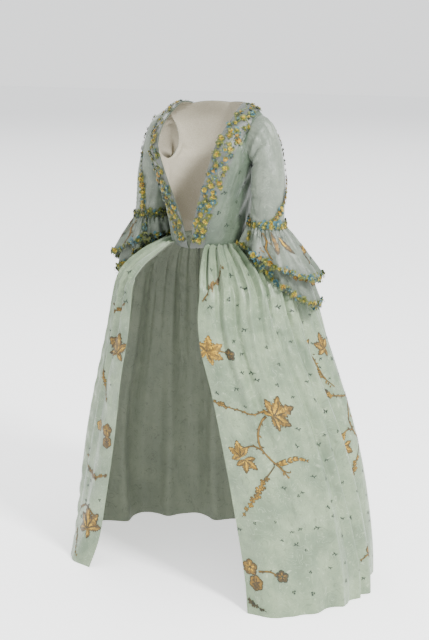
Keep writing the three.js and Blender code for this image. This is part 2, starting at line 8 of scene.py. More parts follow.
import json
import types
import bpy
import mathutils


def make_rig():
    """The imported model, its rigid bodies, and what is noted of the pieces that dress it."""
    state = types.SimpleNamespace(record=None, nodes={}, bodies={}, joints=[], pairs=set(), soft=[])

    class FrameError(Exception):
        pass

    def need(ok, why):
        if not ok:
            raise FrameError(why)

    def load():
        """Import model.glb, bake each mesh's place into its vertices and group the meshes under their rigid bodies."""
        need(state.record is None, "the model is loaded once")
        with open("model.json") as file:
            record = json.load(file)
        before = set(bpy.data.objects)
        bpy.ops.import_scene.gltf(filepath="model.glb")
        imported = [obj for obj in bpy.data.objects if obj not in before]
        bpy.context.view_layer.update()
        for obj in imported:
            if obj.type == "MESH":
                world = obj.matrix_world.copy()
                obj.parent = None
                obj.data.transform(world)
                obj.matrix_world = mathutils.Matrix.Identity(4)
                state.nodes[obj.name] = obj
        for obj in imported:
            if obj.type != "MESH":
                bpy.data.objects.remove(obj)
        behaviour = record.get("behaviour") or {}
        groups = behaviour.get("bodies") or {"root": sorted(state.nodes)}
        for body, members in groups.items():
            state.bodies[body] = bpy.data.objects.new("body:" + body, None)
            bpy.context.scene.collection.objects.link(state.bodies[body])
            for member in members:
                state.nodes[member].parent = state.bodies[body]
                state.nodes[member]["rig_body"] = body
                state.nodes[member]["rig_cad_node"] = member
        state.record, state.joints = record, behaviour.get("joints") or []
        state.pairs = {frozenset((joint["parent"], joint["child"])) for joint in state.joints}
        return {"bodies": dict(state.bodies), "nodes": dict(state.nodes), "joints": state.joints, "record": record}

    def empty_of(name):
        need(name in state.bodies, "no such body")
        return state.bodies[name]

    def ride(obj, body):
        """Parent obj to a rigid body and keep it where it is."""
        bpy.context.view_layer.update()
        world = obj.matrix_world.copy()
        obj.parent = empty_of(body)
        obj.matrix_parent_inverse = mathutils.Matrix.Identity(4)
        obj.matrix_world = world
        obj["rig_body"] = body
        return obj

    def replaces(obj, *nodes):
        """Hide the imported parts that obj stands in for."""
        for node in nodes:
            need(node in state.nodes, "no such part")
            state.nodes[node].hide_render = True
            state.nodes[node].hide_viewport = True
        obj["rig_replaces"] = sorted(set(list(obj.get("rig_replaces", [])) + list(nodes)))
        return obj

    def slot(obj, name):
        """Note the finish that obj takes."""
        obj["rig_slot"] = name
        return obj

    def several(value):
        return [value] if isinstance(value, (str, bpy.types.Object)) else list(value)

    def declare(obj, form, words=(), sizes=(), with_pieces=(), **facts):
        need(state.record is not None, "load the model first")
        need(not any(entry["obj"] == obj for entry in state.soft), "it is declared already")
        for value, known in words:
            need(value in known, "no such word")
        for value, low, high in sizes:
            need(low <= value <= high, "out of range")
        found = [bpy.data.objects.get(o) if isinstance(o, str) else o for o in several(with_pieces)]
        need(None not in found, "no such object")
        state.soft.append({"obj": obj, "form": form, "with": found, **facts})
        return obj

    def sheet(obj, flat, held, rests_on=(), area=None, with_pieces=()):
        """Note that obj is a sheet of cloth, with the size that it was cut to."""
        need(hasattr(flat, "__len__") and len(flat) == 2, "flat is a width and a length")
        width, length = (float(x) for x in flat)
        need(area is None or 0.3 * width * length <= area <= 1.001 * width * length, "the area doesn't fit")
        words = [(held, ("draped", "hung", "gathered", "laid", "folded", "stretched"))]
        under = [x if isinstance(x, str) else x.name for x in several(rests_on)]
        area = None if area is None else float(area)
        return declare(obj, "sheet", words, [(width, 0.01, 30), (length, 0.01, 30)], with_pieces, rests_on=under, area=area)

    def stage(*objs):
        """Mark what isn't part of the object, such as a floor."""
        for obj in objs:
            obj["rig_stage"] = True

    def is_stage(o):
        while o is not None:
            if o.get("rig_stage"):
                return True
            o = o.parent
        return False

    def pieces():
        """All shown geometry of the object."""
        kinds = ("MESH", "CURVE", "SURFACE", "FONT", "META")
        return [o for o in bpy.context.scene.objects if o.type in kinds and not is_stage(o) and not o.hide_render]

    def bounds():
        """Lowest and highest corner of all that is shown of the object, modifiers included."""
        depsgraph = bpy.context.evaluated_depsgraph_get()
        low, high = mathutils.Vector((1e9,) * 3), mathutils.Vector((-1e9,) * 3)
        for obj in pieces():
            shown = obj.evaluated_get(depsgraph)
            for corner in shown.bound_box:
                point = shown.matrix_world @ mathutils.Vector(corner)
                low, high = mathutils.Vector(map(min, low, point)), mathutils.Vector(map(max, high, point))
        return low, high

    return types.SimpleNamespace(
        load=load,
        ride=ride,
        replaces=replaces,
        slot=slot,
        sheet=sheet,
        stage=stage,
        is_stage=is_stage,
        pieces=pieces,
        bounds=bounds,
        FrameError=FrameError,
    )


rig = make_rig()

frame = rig.load()

import json
import math

import bpy
import numpy as np
from mathutils import Matrix, Vector

cad_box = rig.bounds()

# ---------- driving dimensions, as the frame's ----------

SHOULDER_HEIGHT = 1383
CLOTH = 1.3
SEAM = 0.3
UNDERARM_Z = 1222

ARMHOLE = [
    (150, -5, 1222), (152, -36, 1236), (153, -54, 1268), (154, -50, 1308), (158, -30, 1340),
    (165, 0, 1356), (161, 26, 1342), (154, 44, 1308), (149, 46, 1268), (149, 26, 1236),
]
SIDE_SEAM = [(150, -5, 1222), (136, 0, 1165), (125, 2, 1108), (118, 5, 1056), (116, 8, 1008)]

# Neckline or opening edge, handle that rounds the row, where it ends, and the width of the robing.
FRONT_ROWS = [
    dict(edge=(104, 2, 1385), round=(135, 2, 1379), arm=0.5, robing=50),
    dict(edge=(106, -32, 1368), round=(134, -33, 1366), arm=0.41, robing=53),
    dict(edge=(109, -64, 1345), round=(140, -64, 1339), arm=0.35, robing=56),
    dict(edge=(105, -97, 1317), round=(147, -93, 1305), arm=0.28, robing=58),
    dict(edge=(99, -121, 1285), round=(151, -116, 1272), arm=0.2, robing=58),
    dict(edge=(92, -130, 1258), round=(152, -127, 1246), arm=0.1, robing=58),
    dict(edge=(83, -131, 1232), round=(150, -130, 1224), arm=0, side=0, robing=57),
    dict(edge=(62, -129, 1175), round=(136, -128, 1168), side=0.25, robing=54),
    dict(edge=(37, -124, 1112), round=(122, -124, 1109), side=0.5, robing=50),
    dict(edge=(19, -118, 1056), round=(113, -118, 1054), side=0.75, robing=47),
    dict(edge=(3, -112, 986), round=(105, -115, 996), side=1, robing=42),
]
BACK_ROWS = [
    dict(edge=(0, 91, 1384), round=(118, 42, 1399), arm=0.59),
    dict(edge=(0, 105, 1346), round=(119, 99, 1352), arm=0.67),
    dict(edge=(0, 111, 1300), round=(129, 112, 1300), arm=0.77),
    dict(edge=(0, 112, 1255), round=(141, 114, 1252), arm=0.88),
    dict(edge=(0, 110, 1228), round=(147, 112, 1224), arm=1, side=0),
    dict(edge=(0, 106, 1172), round=(134, 108, 1168), side=0.25),
    dict(edge=(0, 99, 1115), round=(122, 102, 1110), side=0.5),
    dict(edge=(0, 92, 1060), round=(113, 95, 1057), side=0.75),
    dict(edge=(0, 86, 1014), round=(105, 90, 1012), side=1),
]
STRAP_ON_BACK = 0.5
STRAP_ROBING = 46
STRAP_SECTIONS = 2
BACK_SEAM = (0.62, 0.3)

# inner x, inner z, outer x, outer z, middle y, half depth, trimming's share on the left and the right arm
SLEEVE_RINGS = np.array([
    (153, 1215, 190, 1342, -4, 51, 0.66, 0.5),
    (151, 1205, 212, 1302, -5, 52, 0.64, 0.44),
    (148, 1189, 230, 1250, -8, 50, 0.62, 0.36),
    (146, 1164, 242, 1188, -12, 48, 0.6, 0.3),
    (149, 1124, 244, 1126, -16, 46, 0.53, 0.27),
    (150, 1077, 246, 1069, -20, 48, 0.38, 0.24),
    (150, 1063, 247, 1052, -21, 49, 0.33, 0.23),
], float)
SLEEVE_START = 0.1

FLOUNCE = dict(waves=8, shallow_at=0.08, lean=(15, 22), reach=150, fall=0.94, steps=48, bias=1.15)
FLOUNCES = {
    "upper": dict(shallow=56, deep=152, flare=68, wave=11, lift=2.0, near_body=21, outside=32),
    "lower": dict(shallow=68, deep=238, flare=38, wave=10, lift=-0.2, near_body=31, outside=12),
}

# height, half width, front edge x, front edge y, reach of the back
SKIRT_ROWS = np.array([
    (992, 148, 59, -123, 112),
    (966, 196, 76, -160, 152),
    (932, 238, 96, -198, 190),
    (885, 268, 113, -224, 222),
    (820, 288, 115, -236, 250),
    (730, 315, 127, -238, 276),
    (620, 353, 156, -232, 292),
    (500, 395, 180, -224, 301),
    (370, 432, 205, -217, 307),
    (230, 462, 233, -215, 312),
    (100, 482, 259, -218, 318),
    (12, 486, 283, -240, 324),
], float)
WAIST = (1008, 118, 118, 74)  # height, half width, reach forward, reach back
HEM_DROP = 4  # how far the soft hem hangs below the frame's
FLOOR = 8  # where the hem rests, above the frame's zero
SKIRT_MIDDLE_Y = 15
SKIRT_ROUNDNESS = 2.4
SKIRT_FROM = 0.34  # share of the front's waist at which the skirt starts
WAIST_BAND = 985  # height above which the pleats lie level with the waist
PLEATS = 22

# Large folds of the left half: place at the hip and at the hem, width, and depth at the hip, knee and hem.
FOLDS = [
    dict(hip=0.03, hem=0.07, width=0.05, depth=(3, 3, 20)),
    dict(hip=0.07, hem=0.1, width=0.015, depth=(-9, -3, -2)),
    dict(hip=0.1, hem=0.13, width=0.016, depth=(9, 6, 2)),
    dict(hip=0.14, hem=0.155, width=0.018, depth=(-16, -8, -3)),
    dict(hip=0.18, hem=0.19, width=0.022, depth=(8, 7, 5)),
    dict(hip=0.215, hem=0.235, width=0.04, depth=(-4, -12, -18)),
    dict(hip=0.262, hem=0.285, width=0.012, depth=(8, 9, 8)),
    dict(hip=0.292, hem=0.325, width=0.016, depth=(-9, -11, -9)),
    dict(hip=0.325, hem=0.352, width=0.011, depth=(9, 10, 7)),
    dict(hip=0.352, hem=0.377, width=0.01, depth=(-7, -9, -7)),
    dict(hip=0.385, hem=0.408, width=0.02, depth=(8, 13, 18)),
    dict(hip=0.44, hem=0.47, width=0.033, depth=(-10, -25, -42)),
    dict(hip=0.53, hem=0.56, width=0.036, depth=(7, 12, 18)),
    dict(hip=0.62, hem=0.64, width=0.028, depth=(-9, -17, -27)),
    dict(hip=0.7, hem=0.72, width=0.033, depth=(7, 12, 18)),
    dict(hip=0.79, hem=0.8, width=0.028, depth=(-9, -17, -27)),
    dict(hip=0.87, hem=0.88, width=0.033, depth=(7, 12, 19)),
    dict(hip=0.96, hem=0.96, width=0.028, depth=(-8, -14, -23)),
]
FOLD_HEIGHTS = (900, 480, 12)
FOLDS_FROM = 990  # where they start, above the hip

CAMERA = dict(azimuth=34.5, height=1560, distance=3700, pitch=12.2, yaw=-0.1, focal_px=1300, long_side_px=640)

# Places in the lists of silks, for brocade and for fringe.
IN_GOLD, IN_LIGHT, IN_BROWN, IN_DARK, IN_PALE = range(5)
F_YELLOW, F_ORANGE, F_GREEN, F_TEAL, F_DARK, F_PALE = range(6)

# Silks of a figure's rim, body and light.
SHADED = (IN_BROWN, IN_GOLD, IN_LIGHT)
BRIGHT = (IN_BROWN, IN_LIGHT, IN_GOLD)
PLAIN = (IN_BROWN, IN_GOLD, IN_BROWN)
GILT = (IN_GOLD, IN_LIGHT, IN_GOLD)
DARK = (IN_DARK, IN_BROWN, IN_GOLD)
DIM = (IN_DARK, IN_BROWN, IN_DARK)

# ---------- curves and grids ----------


def mix(a, b, t):
    return a + (b - a) * t


def smooth(t):
    t = np.clip(t, 0, 1)
    return t * t * (3 - 2 * t)


def unit(vectors):
    """The vectors at length 1."""
    return vectors / np.maximum(np.linalg.norm(vectors, axis=-1, keepdims=True), 1e-9)


def catmull(values, t):
    """The smooth curve through the rows of values, at t counted in rows."""
    values = np.asarray(values, float)
    t = np.asarray(t, float)
    last = len(values) - 1
    i = np.clip(np.floor(t).astype(int), 0, last - 1)
    f = (t - i).reshape(t.shape + (1,) * (values.ndim - 1))
    a, b = values[i], values[i + 1]
    slope_a = (b - values[np.maximum(i - 1, 0)]) / 2
    slope_b = (values[np.minimum(i + 2, last)] - a) / 2
    return (
        a * (2 * f**3 - 3 * f**2 + 1)
        + slope_a * (f**3 - 2 * f**2 + f)
        + b * (3 * f**2 - 2 * f**3)
        + slope_b * (f**3 - f**2)
    )


def curve(points, per_section=6):
    """A smooth line through the points."""
    return catmull(points, np.linspace(0, len(points) - 1, per_section * (len(points) - 1) + 1))


def loop_line(points, per_section=30):
    """A closed smooth line through the points."""
    padded = [points[-1], *points, points[0], points[1]]
    return catmull(padded, np.linspace(1, len(points) + 1, per_section * len(points) + 1))


def reach_along(line):
    """How far along a line each of its points lies."""
    return np.concatenate([[0], np.cumsum(np.linalg.norm(np.diff(line, axis=0), axis=1))])


def points_at(distances, reach, line):
    """Points of a line at distances along it, reach being how far along it its own points lie."""
    return np.stack([np.interp(distances, reach, values) for values in line.T], -1)


def evenly(line, shares):
    """Points of a line at shares of its length."""
    line = np.asarray(line, float)
    reach = reach_along(line)
    return points_at(np.asarray(shares) * reach[-1], reach, line)


def arch(a, handle, b, t):
    """Points at t of the curve from a to b, which the handle rounds."""
    a, handle, b = (np.asarray(p, float) for p in (a, handle, b))
    t = np.asarray(t, float)[:, None]
    return (1 - t) ** 2 * a + 2 * t * (1 - t) * handle + t**2 * b


def two_runs(start, middle, end, first, second):
    """Shares from start to middle in so many first steps, then on to end in so many second ones."""
    return np.concatenate([np.linspace(start, middle, first + 1), np.linspace(middle, end, second + 1)[1:]])


ARMHOLE_LINE = loop_line(ARMHOLE)


def row_end(rows, s):
    """Where row s of the bodice ends: on the armhole, or on the side seam below it."""
    i = min(len(rows) - 2, int(s))
    above, below = rows[i], rows[i + 1]
    if "arm" in above and "arm" in below:
        return evenly(ARMHOLE_LINE, [mix(above["arm"], below["arm"], s - i)])[0]
    return catmull(SIDE_SEAM, mix(above["side"], below["side"], s - i) * (len(SIDE_SEAM) - 1))


def row_shape(rows, s):
    """The edge, handle, end and robing's width of row s of the bodice."""
    edge, handle = (catmull([r[k] for r in rows], s) for k in ("edge", "round"))
    return edge, handle, row_end(rows, s), float(catmull([r.get("robing", 0) for r in rows], s))


def strap_seam():
    """The strap's back seam, the outer part of the back's top row."""
    row = BACK_ROWS[0]
    end = row_end(BACK_ROWS, 0)
    edge = arch(row["edge"], row["round"], end, [STRAP_ON_BACK])[0]
    handle = mix(np.array(row["round"], float), end, STRAP_ON_BACK)
    return dict(edge=tuple(edge), round=tuple(handle), arm=row["arm"], robing=STRAP_ROBING)


class Sheet:
    """A grid of points (rows, columns, 3) with normals that point out of the wearer's left side."""

    def __init__(self, points, closed=False, outward=None):
        self.points = points
        self.closed = closed
        self.outward = outward
        down = np.gradient(points, axis=0)
        if closed:
            along = (np.roll(points, -1, axis=1) - np.roll(points, 1, axis=1)) / 2
        else:
            along = np.gradient(points, axis=1)
        self.normals = unit(np.cross(down, along))
        if outward is not None:
            outward(self)
        self.ring, self.ring_normals = points, self.normals
        if closed:
            self.ring = np.concatenate([points, points[:, :1]], 1)
            self.ring_normals = np.concatenate([self.normals, self.normals[:, :1]], 1)
        steps = np.linalg.norm(np.diff(self.ring, axis=1), axis=2)
        self.u = np.concatenate([np.zeros((len(points), 1)), np.cumsum(steps, 1)], 1)
        self.v = reach_along(points[:, points.shape[1] // 2])

    def moved(self, distance):
        return Sheet(self.points + self.normals * np.asarray(distance)[..., None], self.closed, self.outward)

    def sample(self, rows, columns, lift=0.0):
        """Points at fractional rows and columns, moved out by lift, and the normals there."""
        rows = np.clip(np.asarray(rows, float), 0, len(self.ring) - 1.001)
        columns = np.asarray(columns, float)
        if self.closed:
            columns = np.mod(columns, self.ring.shape[1] - 1)
        columns = np.clip(columns, 0, self.ring.shape[1] - 1.001)
        i, j = rows.astype(int), columns.astype(int)
        f, g = (rows - i)[..., None], (columns - j)[..., None]

        def between(a):
            above = (1 - g) * a[i, j] + g * a[i, j + 1]
            below = (1 - g) * a[i + 1, j] + g * a[i + 1, j + 1]
            return (1 - f) * above + f * below

        n = unit(between(self.ring_normals))
        return between(self.ring) + n * np.asarray(lift)[..., None], n

    def cells(self, x, y):
        """Fractional rows and columns of places x mm along the rows and y mm down the middle."""
        rows = np.interp(y, self.v, np.arange(len(self.v)))
        r = float(np.clip(np.mean(rows), 0, len(self.v) - 1.001))
        i = int(r)
        line = mix(self.u[i], self.u[i + 1], r - i)
        if self.closed:
            x = np.mod(x, line[-1])
        return rows, np.interp(x, line, np.arange(len(line)))


# ---------- meshes ----------

RIGHT_WEAVE = 3.7  # metres along the bolt at which the right side's cloth starts, the left side's being at 0
SHARP_ANGLE = 50  # degrees at which the edges of a wall are sharp


def to_metres(points, mirror=False):
    p = (np.asarray(points, float).reshape(-1, 3) - (0, 0, SHOULDER_HEIGHT)) / 1000
    if mirror:
        p = p * (-1, 1, 1)
    return p


def new_object(name, vertices, faces, materials, indices=None, uvs=None):
    mesh = bpy.data.meshes.new(name)
    mesh.from_pydata(vertices.tolist(), [], faces)
    for m in materials:
        mesh.materials.append(m)
    if indices is not None:
        mesh.polygons.foreach_set("material_index", np.asarray(indices, np.int32))
    mesh.polygons.foreach_set("use_smooth", np.full(len(mesh.polygons), True))
    if uvs is not None:
        layer = mesh.uv_layers.new(name="cloth")
        layer.data.foreach_set("uv", np.asarray(uvs, np.float32).ravel())
    mesh.update()
    ob = bpy.data.objects.new(name, mesh)
    bpy.context.scene.collection.objects.link(ob)
    return ob


def quads_between(a, b):
    """Quads between two runs of vertices."""
    return np.stack([a[:-1], a[1:], b[1:], b[:-1]], 1)


def wall(name, sheet, materials, mirror=False, lift=0.0, rows=None, columns=None):
    """A closed wall of cloth from part of a sheet: first material outside and on the edges, second inside."""
    r0, r1 = rows or (0, len(sheet.points) - 1)
    c0, c1 = columns or (0, sheet.points.shape[1] - 1)
    lift = np.broadcast_to(np.asarray(lift, float), sheet.points.shape[:2])
    p, n, h = (a[r0 : r1 + 1, c0 : c1 + 1] for a in (sheet.points, sheet.normals, lift[..., None]))
    nr, nc = p.shape[:2]
    outer, inner = p + n * h, p + n * (h - CLOTH)
    vertices = to_metres(np.concatenate([outer.reshape(-1, 3), inner.reshape(-1, 3)]), mirror)

    r = np.arange(nr - 1)[:, None]
    c = np.arange(nc if sheet.closed else nc - 1)[None, :]
    d = (c + 1) % nc
    corners = np.broadcast_arrays(r * nc + c, (r + 1) * nc + c, (r + 1) * nc + d, r * nc + d)
    quads = np.stack(corners, -1).reshape(-1, 4)
    behind = nr * nc
    top, bottom = np.arange(nc), (nr - 1) * nc + np.arange(nc)
    if sheet.closed:
        top, bottom = np.append(top, top[0]), np.append(bottom, bottom[0])
    rims = [quads_between(top, top + behind), quads_between(bottom + behind, bottom)]
    if not sheet.closed:
        left, right = np.arange(nr) * nc, np.arange(nr) * nc + nc - 1
        rims += [quads_between(left + behind, left), quads_between(right, right + behind)]
    faces = np.concatenate([quads, quads[:, ::-1] + behind, *rims])
    edge_count = len(faces) - 2 * len(quads)
    is_inside = np.repeat([0, 1, 0], [len(quads), len(quads), edge_count])

    # the weave runs in metres of cloth, along the widest row and down the middle
    share = np.arange(c0, c1 + 2) / (sheet.ring.shape[1] - 1)
    u = share * sheet.u[:, -1].max() / 1000 + (RIGHT_WEAVE if mirror else 0)
    v = -sheet.v[r0 : r1 + 1] / 1000
    shape = (nr - 1, c.shape[1], 4)
    along = np.broadcast_to(np.stack([u[c], u[c], u[c + 1], u[c + 1]], -1), shape)
    down = np.broadcast_to(np.stack([v[r], v[r + 1], v[r + 1], v[r]], -1), shape)
    uv = np.stack([along, down], -1).reshape(-1, 4, 2)
    uvs = np.concatenate([uv, uv[:, ::-1], np.zeros((edge_count, 4, 2))])
    if mirror:
        faces, uvs = faces[:, ::-1], uvs[:, ::-1]
    ob = new_object(name, vertices, faces.tolist(), materials, is_inside, uvs)
    ob.data.set_sharp_from_angle(angle=math.radians(SHARP_ANGLE))
    return ob


class Decor:
    """Small flat or raised shapes gathered into one mesh."""

    def __init__(self, mirror):
        self.mirror = mirror
        self.vertices, self.faces, self.indices, self.count = [], [], [], 0

    def strip(self, rows_of_points, index):
        """Quads of one material between neighbouring rows of points."""
        rows, n = rows_of_points.shape[:2]
        for i in range(rows - 1):
            for j in range(n - 1):
                k = self.count + i * n + j
                quad = [k, k + n, k + n + 1, k + 1]
                self.faces.append(quad[::-1] if self.mirror else quad)
                self.indices.append(index)
        self.vertices.append(rows_of_points.reshape(-1, 3))
        self.count += rows * n

    def build(self, name, materials):
        vertices = to_metres(np.concatenate(self.vertices), self.mirror)
        return new_object(name, vertices, self.faces, materials, self.indices)


# ---------- brocade ----------

# How high the rim, body, light and heart of a figure lie on the cloth.
RIM_LIFT, BODY_LIFT, LIGHT_LIFT, HEART_LIFT = 0.7, 0.95, 1.15, 1.25


def heading(path, i):
    """The direction of a flat path at its point i."""
    along = path[i + 1] - path[i]
    return math.atan2(along[1], along[0])


class Brocade:
    """Draws figures flat on one sheet, in mm: x along the cloth from its front edge, z the height."""

    def __init__(self, sheet, mirror, rng):
        self.sheet, self.rng = sheet, rng
        self.decor = Decor(mirror)
        middle = sheet.points.shape[1] // 2
        self.heights = sheet.points[::-1, middle, 2]
        self.downs = sheet.v[::-1]
        self.widths = sheet.u[::-1, -1]

    def draw(self, figure, x=0, z=0, scale=1.0, flip=1, drop=1.0):
        """Draws a table of strokes from x, z on; flip mirrors it, and heights in it are counted in drops."""
        for kind, places, sizes, *rest in figure:
            if flip < 0 and kind == "lobed":
                rest[0] = math.pi - rest[0]
            if flip < 0 and kind == "leaf":
                rest[:2] = math.pi - rest[0], -rest[1]
            places = (x, z) + np.array(places, float) * (flip * scale, scale * drop)
            getattr(self, kind)(places, np.array(sizes) * scale, *rest)

    def ribbon(self, path, half_widths, colour, lift):
        along = np.gradient(path, axis=0)
        offset = unit(np.stack([-along[:, 1], along[:, 0]], -1)) * half_widths[:, None]
        sides = []
        for flat in (path - offset, path, path + offset):
            downs = np.interp(flat[:, 1], self.heights, self.downs)
            rows, columns = self.sheet.cells(flat[:, 0], downs)
            sides.append(self.sheet.sample(rows, columns, lift)[0])
        self.decor.strip(np.stack(sides, 1), colour)

    def leaf(self, foot, sizes, angle, bend, colour, teeth=0.0, lift=0.8, count=9):
        """A leaf of some length and width, toothed at its edge, which turns by bend on its way to the tip."""
        length, width = sizes
        t = np.linspace(0, 1, count)
        turn = angle + bend * t
        step = np.stack([np.cos(turn), np.sin(turn)], -1) * length / (count - 1)
        path = foot + np.concatenate([[(0, 0)], np.cumsum(step, 0)[:-1]])
        shape = np.sin(np.pi * np.clip(t * 0.96 + 0.04, 0, 1)) ** 0.8
        shape = shape * (1 + teeth * np.where(np.arange(count) % 2, 1, -1))
        self.ribbon(path, width / 2 * np.maximum(shape, 0.02), colour, lift)
        return path[-1]

    def petal(self, foot, sizes, angle, colour, lift):
        length, width = sizes
        t = np.linspace(0, 1, 7)
        path = foot + t[:, None] * length * np.array([math.cos(angle), math.sin(angle)])
        shape = np.sin(np.pi * t**1.5) ** 0.6 + 0.03
        self.ribbon(path, width / 2 * shape, colour, lift)

    def lobed(self, centre, size, angle, lobes, colours=SHADED):
        """A blossom like a leaf: pointed lobes fan out of its foot, dark at the rim and light inside."""
        dark, middle, light = colours
        foot = centre - 0.35 * size * np.array([math.cos(angle), math.sin(angle)])
        for turn, reach in lobes:
            length = size * reach
            width = 0.4 * size * reach
            self.leaf(foot, (length, width * 1.22), angle + turn, 0.3 * turn, dark, 0.24, RIM_LIFT, 13)
        for turn, reach in lobes:
            length, a = size * reach, angle + turn
            width = 0.4 * size * reach
            self.leaf(foot, (length * 0.92, width), a, 0.3 * turn, middle, 0.2, BODY_LIFT, 13)
            self.leaf(foot, (length * 0.8, width * 0.4), a + 0.08, 0.3 * turn, light, 0.25, LIGHT_LIFT, 9)
            self.leaf(foot, (length * 0.6, width * 0.18), a - 0.12, 0.2 * turn, dark, 0.2, HEART_LIFT, 7)

    def flower(self, centre, radius, petals=5, colours=SHADED, turn=0.3):
        """A round flower: petals about a dark heart."""
        dark, middle, light = colours
        layers = [(1.0, 1.0, dark, RIM_LIFT), (0.8, 0.88, middle, BODY_LIFT), (0.2, 0.6, light, LIGHT_LIFT)]
        for k in range(petals):
            a = turn + 2 * np.pi * k / petals
            for width, reach, colour, lift in layers:
                self.petal(centre, (radius * reach, radius * 0.85 * width), a, colour, lift)
        self.petal(centre - (radius * 0.18, 0), (radius * 0.4, radius * 0.36), 0, dark, HEART_LIFT)

    def stem(self, points, sizes, leaves):
        """A stem of some width, with a light core and leaves of some length on alternate sides."""
        width, size = sizes
        path = curve(points)
        taper = 1.15 - 0.5 * np.linspace(0, 1, len(path))
        self.ribbon(path, width * 0.75 * taper, IN_BROWN, RIM_LIFT)
        self.ribbon(path, width * 0.4 * taper, IN_GOLD, BODY_LIFT)
        for k in range(leaves):
            i = int((k + 0.7) / leaves * (len(path) - 2))
            a = heading(path, i) + (0.75 if k % 2 else -0.75)
            leaf = (size * self.rng.uniform(0.7, 1.1), size * 0.42)
            self.leaf(path[i], leaf, a, 0.3, (IN_BROWN, IN_GOLD)[(k // 2) % 2], 0.0, 0.85, 5)

    def ear(self, points, size, grains):
        """An ear of grain: overlapping pairs of grains along a curve."""
        path = curve(points)
        self.ribbon(path, np.full(len(path), 1.6), IN_BROWN, RIM_LIFT)
        for k in range(grains):
            s = (k + 0.5) / grains
            i = min(len(path) - 2, int(s * (len(path) - 1)))
            a = heading(path, i)
            grow = size * (0.6 + 0.55 * math.sin(math.pi * min(1, 0.2 + s)))
            core = (IN_GOLD, IN_LIGHT)[k % 2]
            for side in (-1, 1):
                self.leaf(path[i], (grow, grow * 0.46), a + 0.55 * side, 0.0, IN_BROWN, 0.0, 0.75, 5)
                self.leaf(path[i], (grow * 0.82, grow * 0.34), a + 0.5 * side, 0.0, core, 0.0, BODY_LIFT, 5)

    def garland(self, points, size, lobes, first=0.0, colours=SHADED):
        """A swag of round scalloped lobes, which dies away to a pointed stalk."""
        path = curve(points)
        self.ribbon(path, 2.2 * (1.1 - 0.8 * np.linspace(0, 1, len(path))), colours[0], RIM_LIFT)
        for k in range(lobes):
            s = first + (1 - first) * (k + 0.4) / lobes
            i = min(len(path) - 2, int(s * (len(path) - 1)))
            r = size * 0.62 * (1.05 - 0.45 * abs(2 * (k + 0.5) / lobes - 0.8))
            wobble = 0.22 * r * (-1) ** k
            along = unit(path[i + 1] - path[i])
            self.flower(path[i] + wobble * np.array([-along[1], along[0]]), r, 4, colours, k * 0.7)

    def swag(self, points, size):
        """A leafy stem that runs on into a garland."""
        self.stem(points, (size / 4, size * 2 / 3), 8)
        self.garland(points[1:], size, 7, 0.1, PLAIN)

    def sprig(self, x, z, scale=1.0):
        """A tiny dark sprig: a stroke with two or three leaves, or a bud with a light heart."""
        foot = np.array([x, z])
        tilt = self.rng.uniform(-0.35, 0.35) + (math.pi if self.rng.random() < 0.5 else 0)
        if self.rng.random() < 0.3:
            r = 4.6 * scale
            for k in range(3):
                self.petal(foot, (r * 1.1, r), tilt + 2.1 * k, IN_DARK, RIM_LIFT)
            self.petal(foot, (r * 0.5, r * 0.5), tilt, IN_PALE, 0.9)
            return
        length = 14 * scale * self.rng.uniform(0.7, 1.2)
        bend = self.rng.uniform(-0.3, 0.3)
        tip = self.leaf(foot, (length, 2.2), tilt, bend, IN_DARK, 0.0, RIM_LIFT, 5)
        for share, turn in ((0.35, 1.0), (0.6, -0.9), (0.8, 0.7))[: self.rng.integers(2, 4)]:
            base = foot + (tip - foot) * share
            self.leaf(base, (6.0 * scale, 2.8 * scale), tilt + turn, 0.0, IN_DARK, 0.0, 0.75, 4)

    def sprigs(self, spacing, low, high, first=0.0, keep_off=()):
        """Sprigs scattered unevenly between two heights, from first mm along the cloth to its far edge."""
        row = 0
        z = high
        while z > low:
            x = first + spacing * (0.3 + 0.5 * (row % 2))
            while x < np.interp(z, self.heights, self.widths) - 12:
                px = x + self.rng.uniform(-0.36, 0.36) * spacing
                pz = z + self.rng.uniform(-0.3, 0.3) * spacing
                if low < pz < high and all((px - a) ** 2 + (pz - b) ** 2 > r * r for a, b, r in keep_off):
                    self.sprig(px, pz, self.rng.uniform(0.8, 1.35))
                x += spacing
            z -= spacing * 0.62
            row += 1


# ---------- the figures of the brocade ----------

# Lobes of the leafy blossoms: turn from the blossom's own direction, and length in blossom sizes.
SPRAY_LOBES = [(-1.35, 0.62), (-0.7, 0.86), (0, 1.0), (0.65, 0.84), (1.35, 0.66), (2.3, 0.4)]
BRIGHT_LOBES = [(-1.1, 0.8), (-0.35, 1.0), (0.4, 0.9), (1.2, 0.7)]
LOW_LOBES = [(-1.2, 0.8), (-0.4, 0.95), (0.4, 1.0), (1.2, 0.75)]
TRUMPET_LOBES = [(-1.1, 0.7), (-0.4, 1.0), (0.45, 0.9), (1.2, 0.75), (2.4, 0.5)]
HIP_LOBES = [(-1.5, 0.7), (-0.7, 0.9), (0, 1.0), (0.8, 0.9), (1.7, 0.7), (3.0, 0.6)]
HEM_LOBES = [(-1.3, 0.75), (-0.6, 0.9), (0.1, 1.0), (0.8, 0.85), (1.5, 0.7), (3.0, 0.45)]
FLOUNCE_LOBES = [(-1.3, 0.8), (-0.5, 1.0), (0.4, 0.9), (1.2, 0.75)]

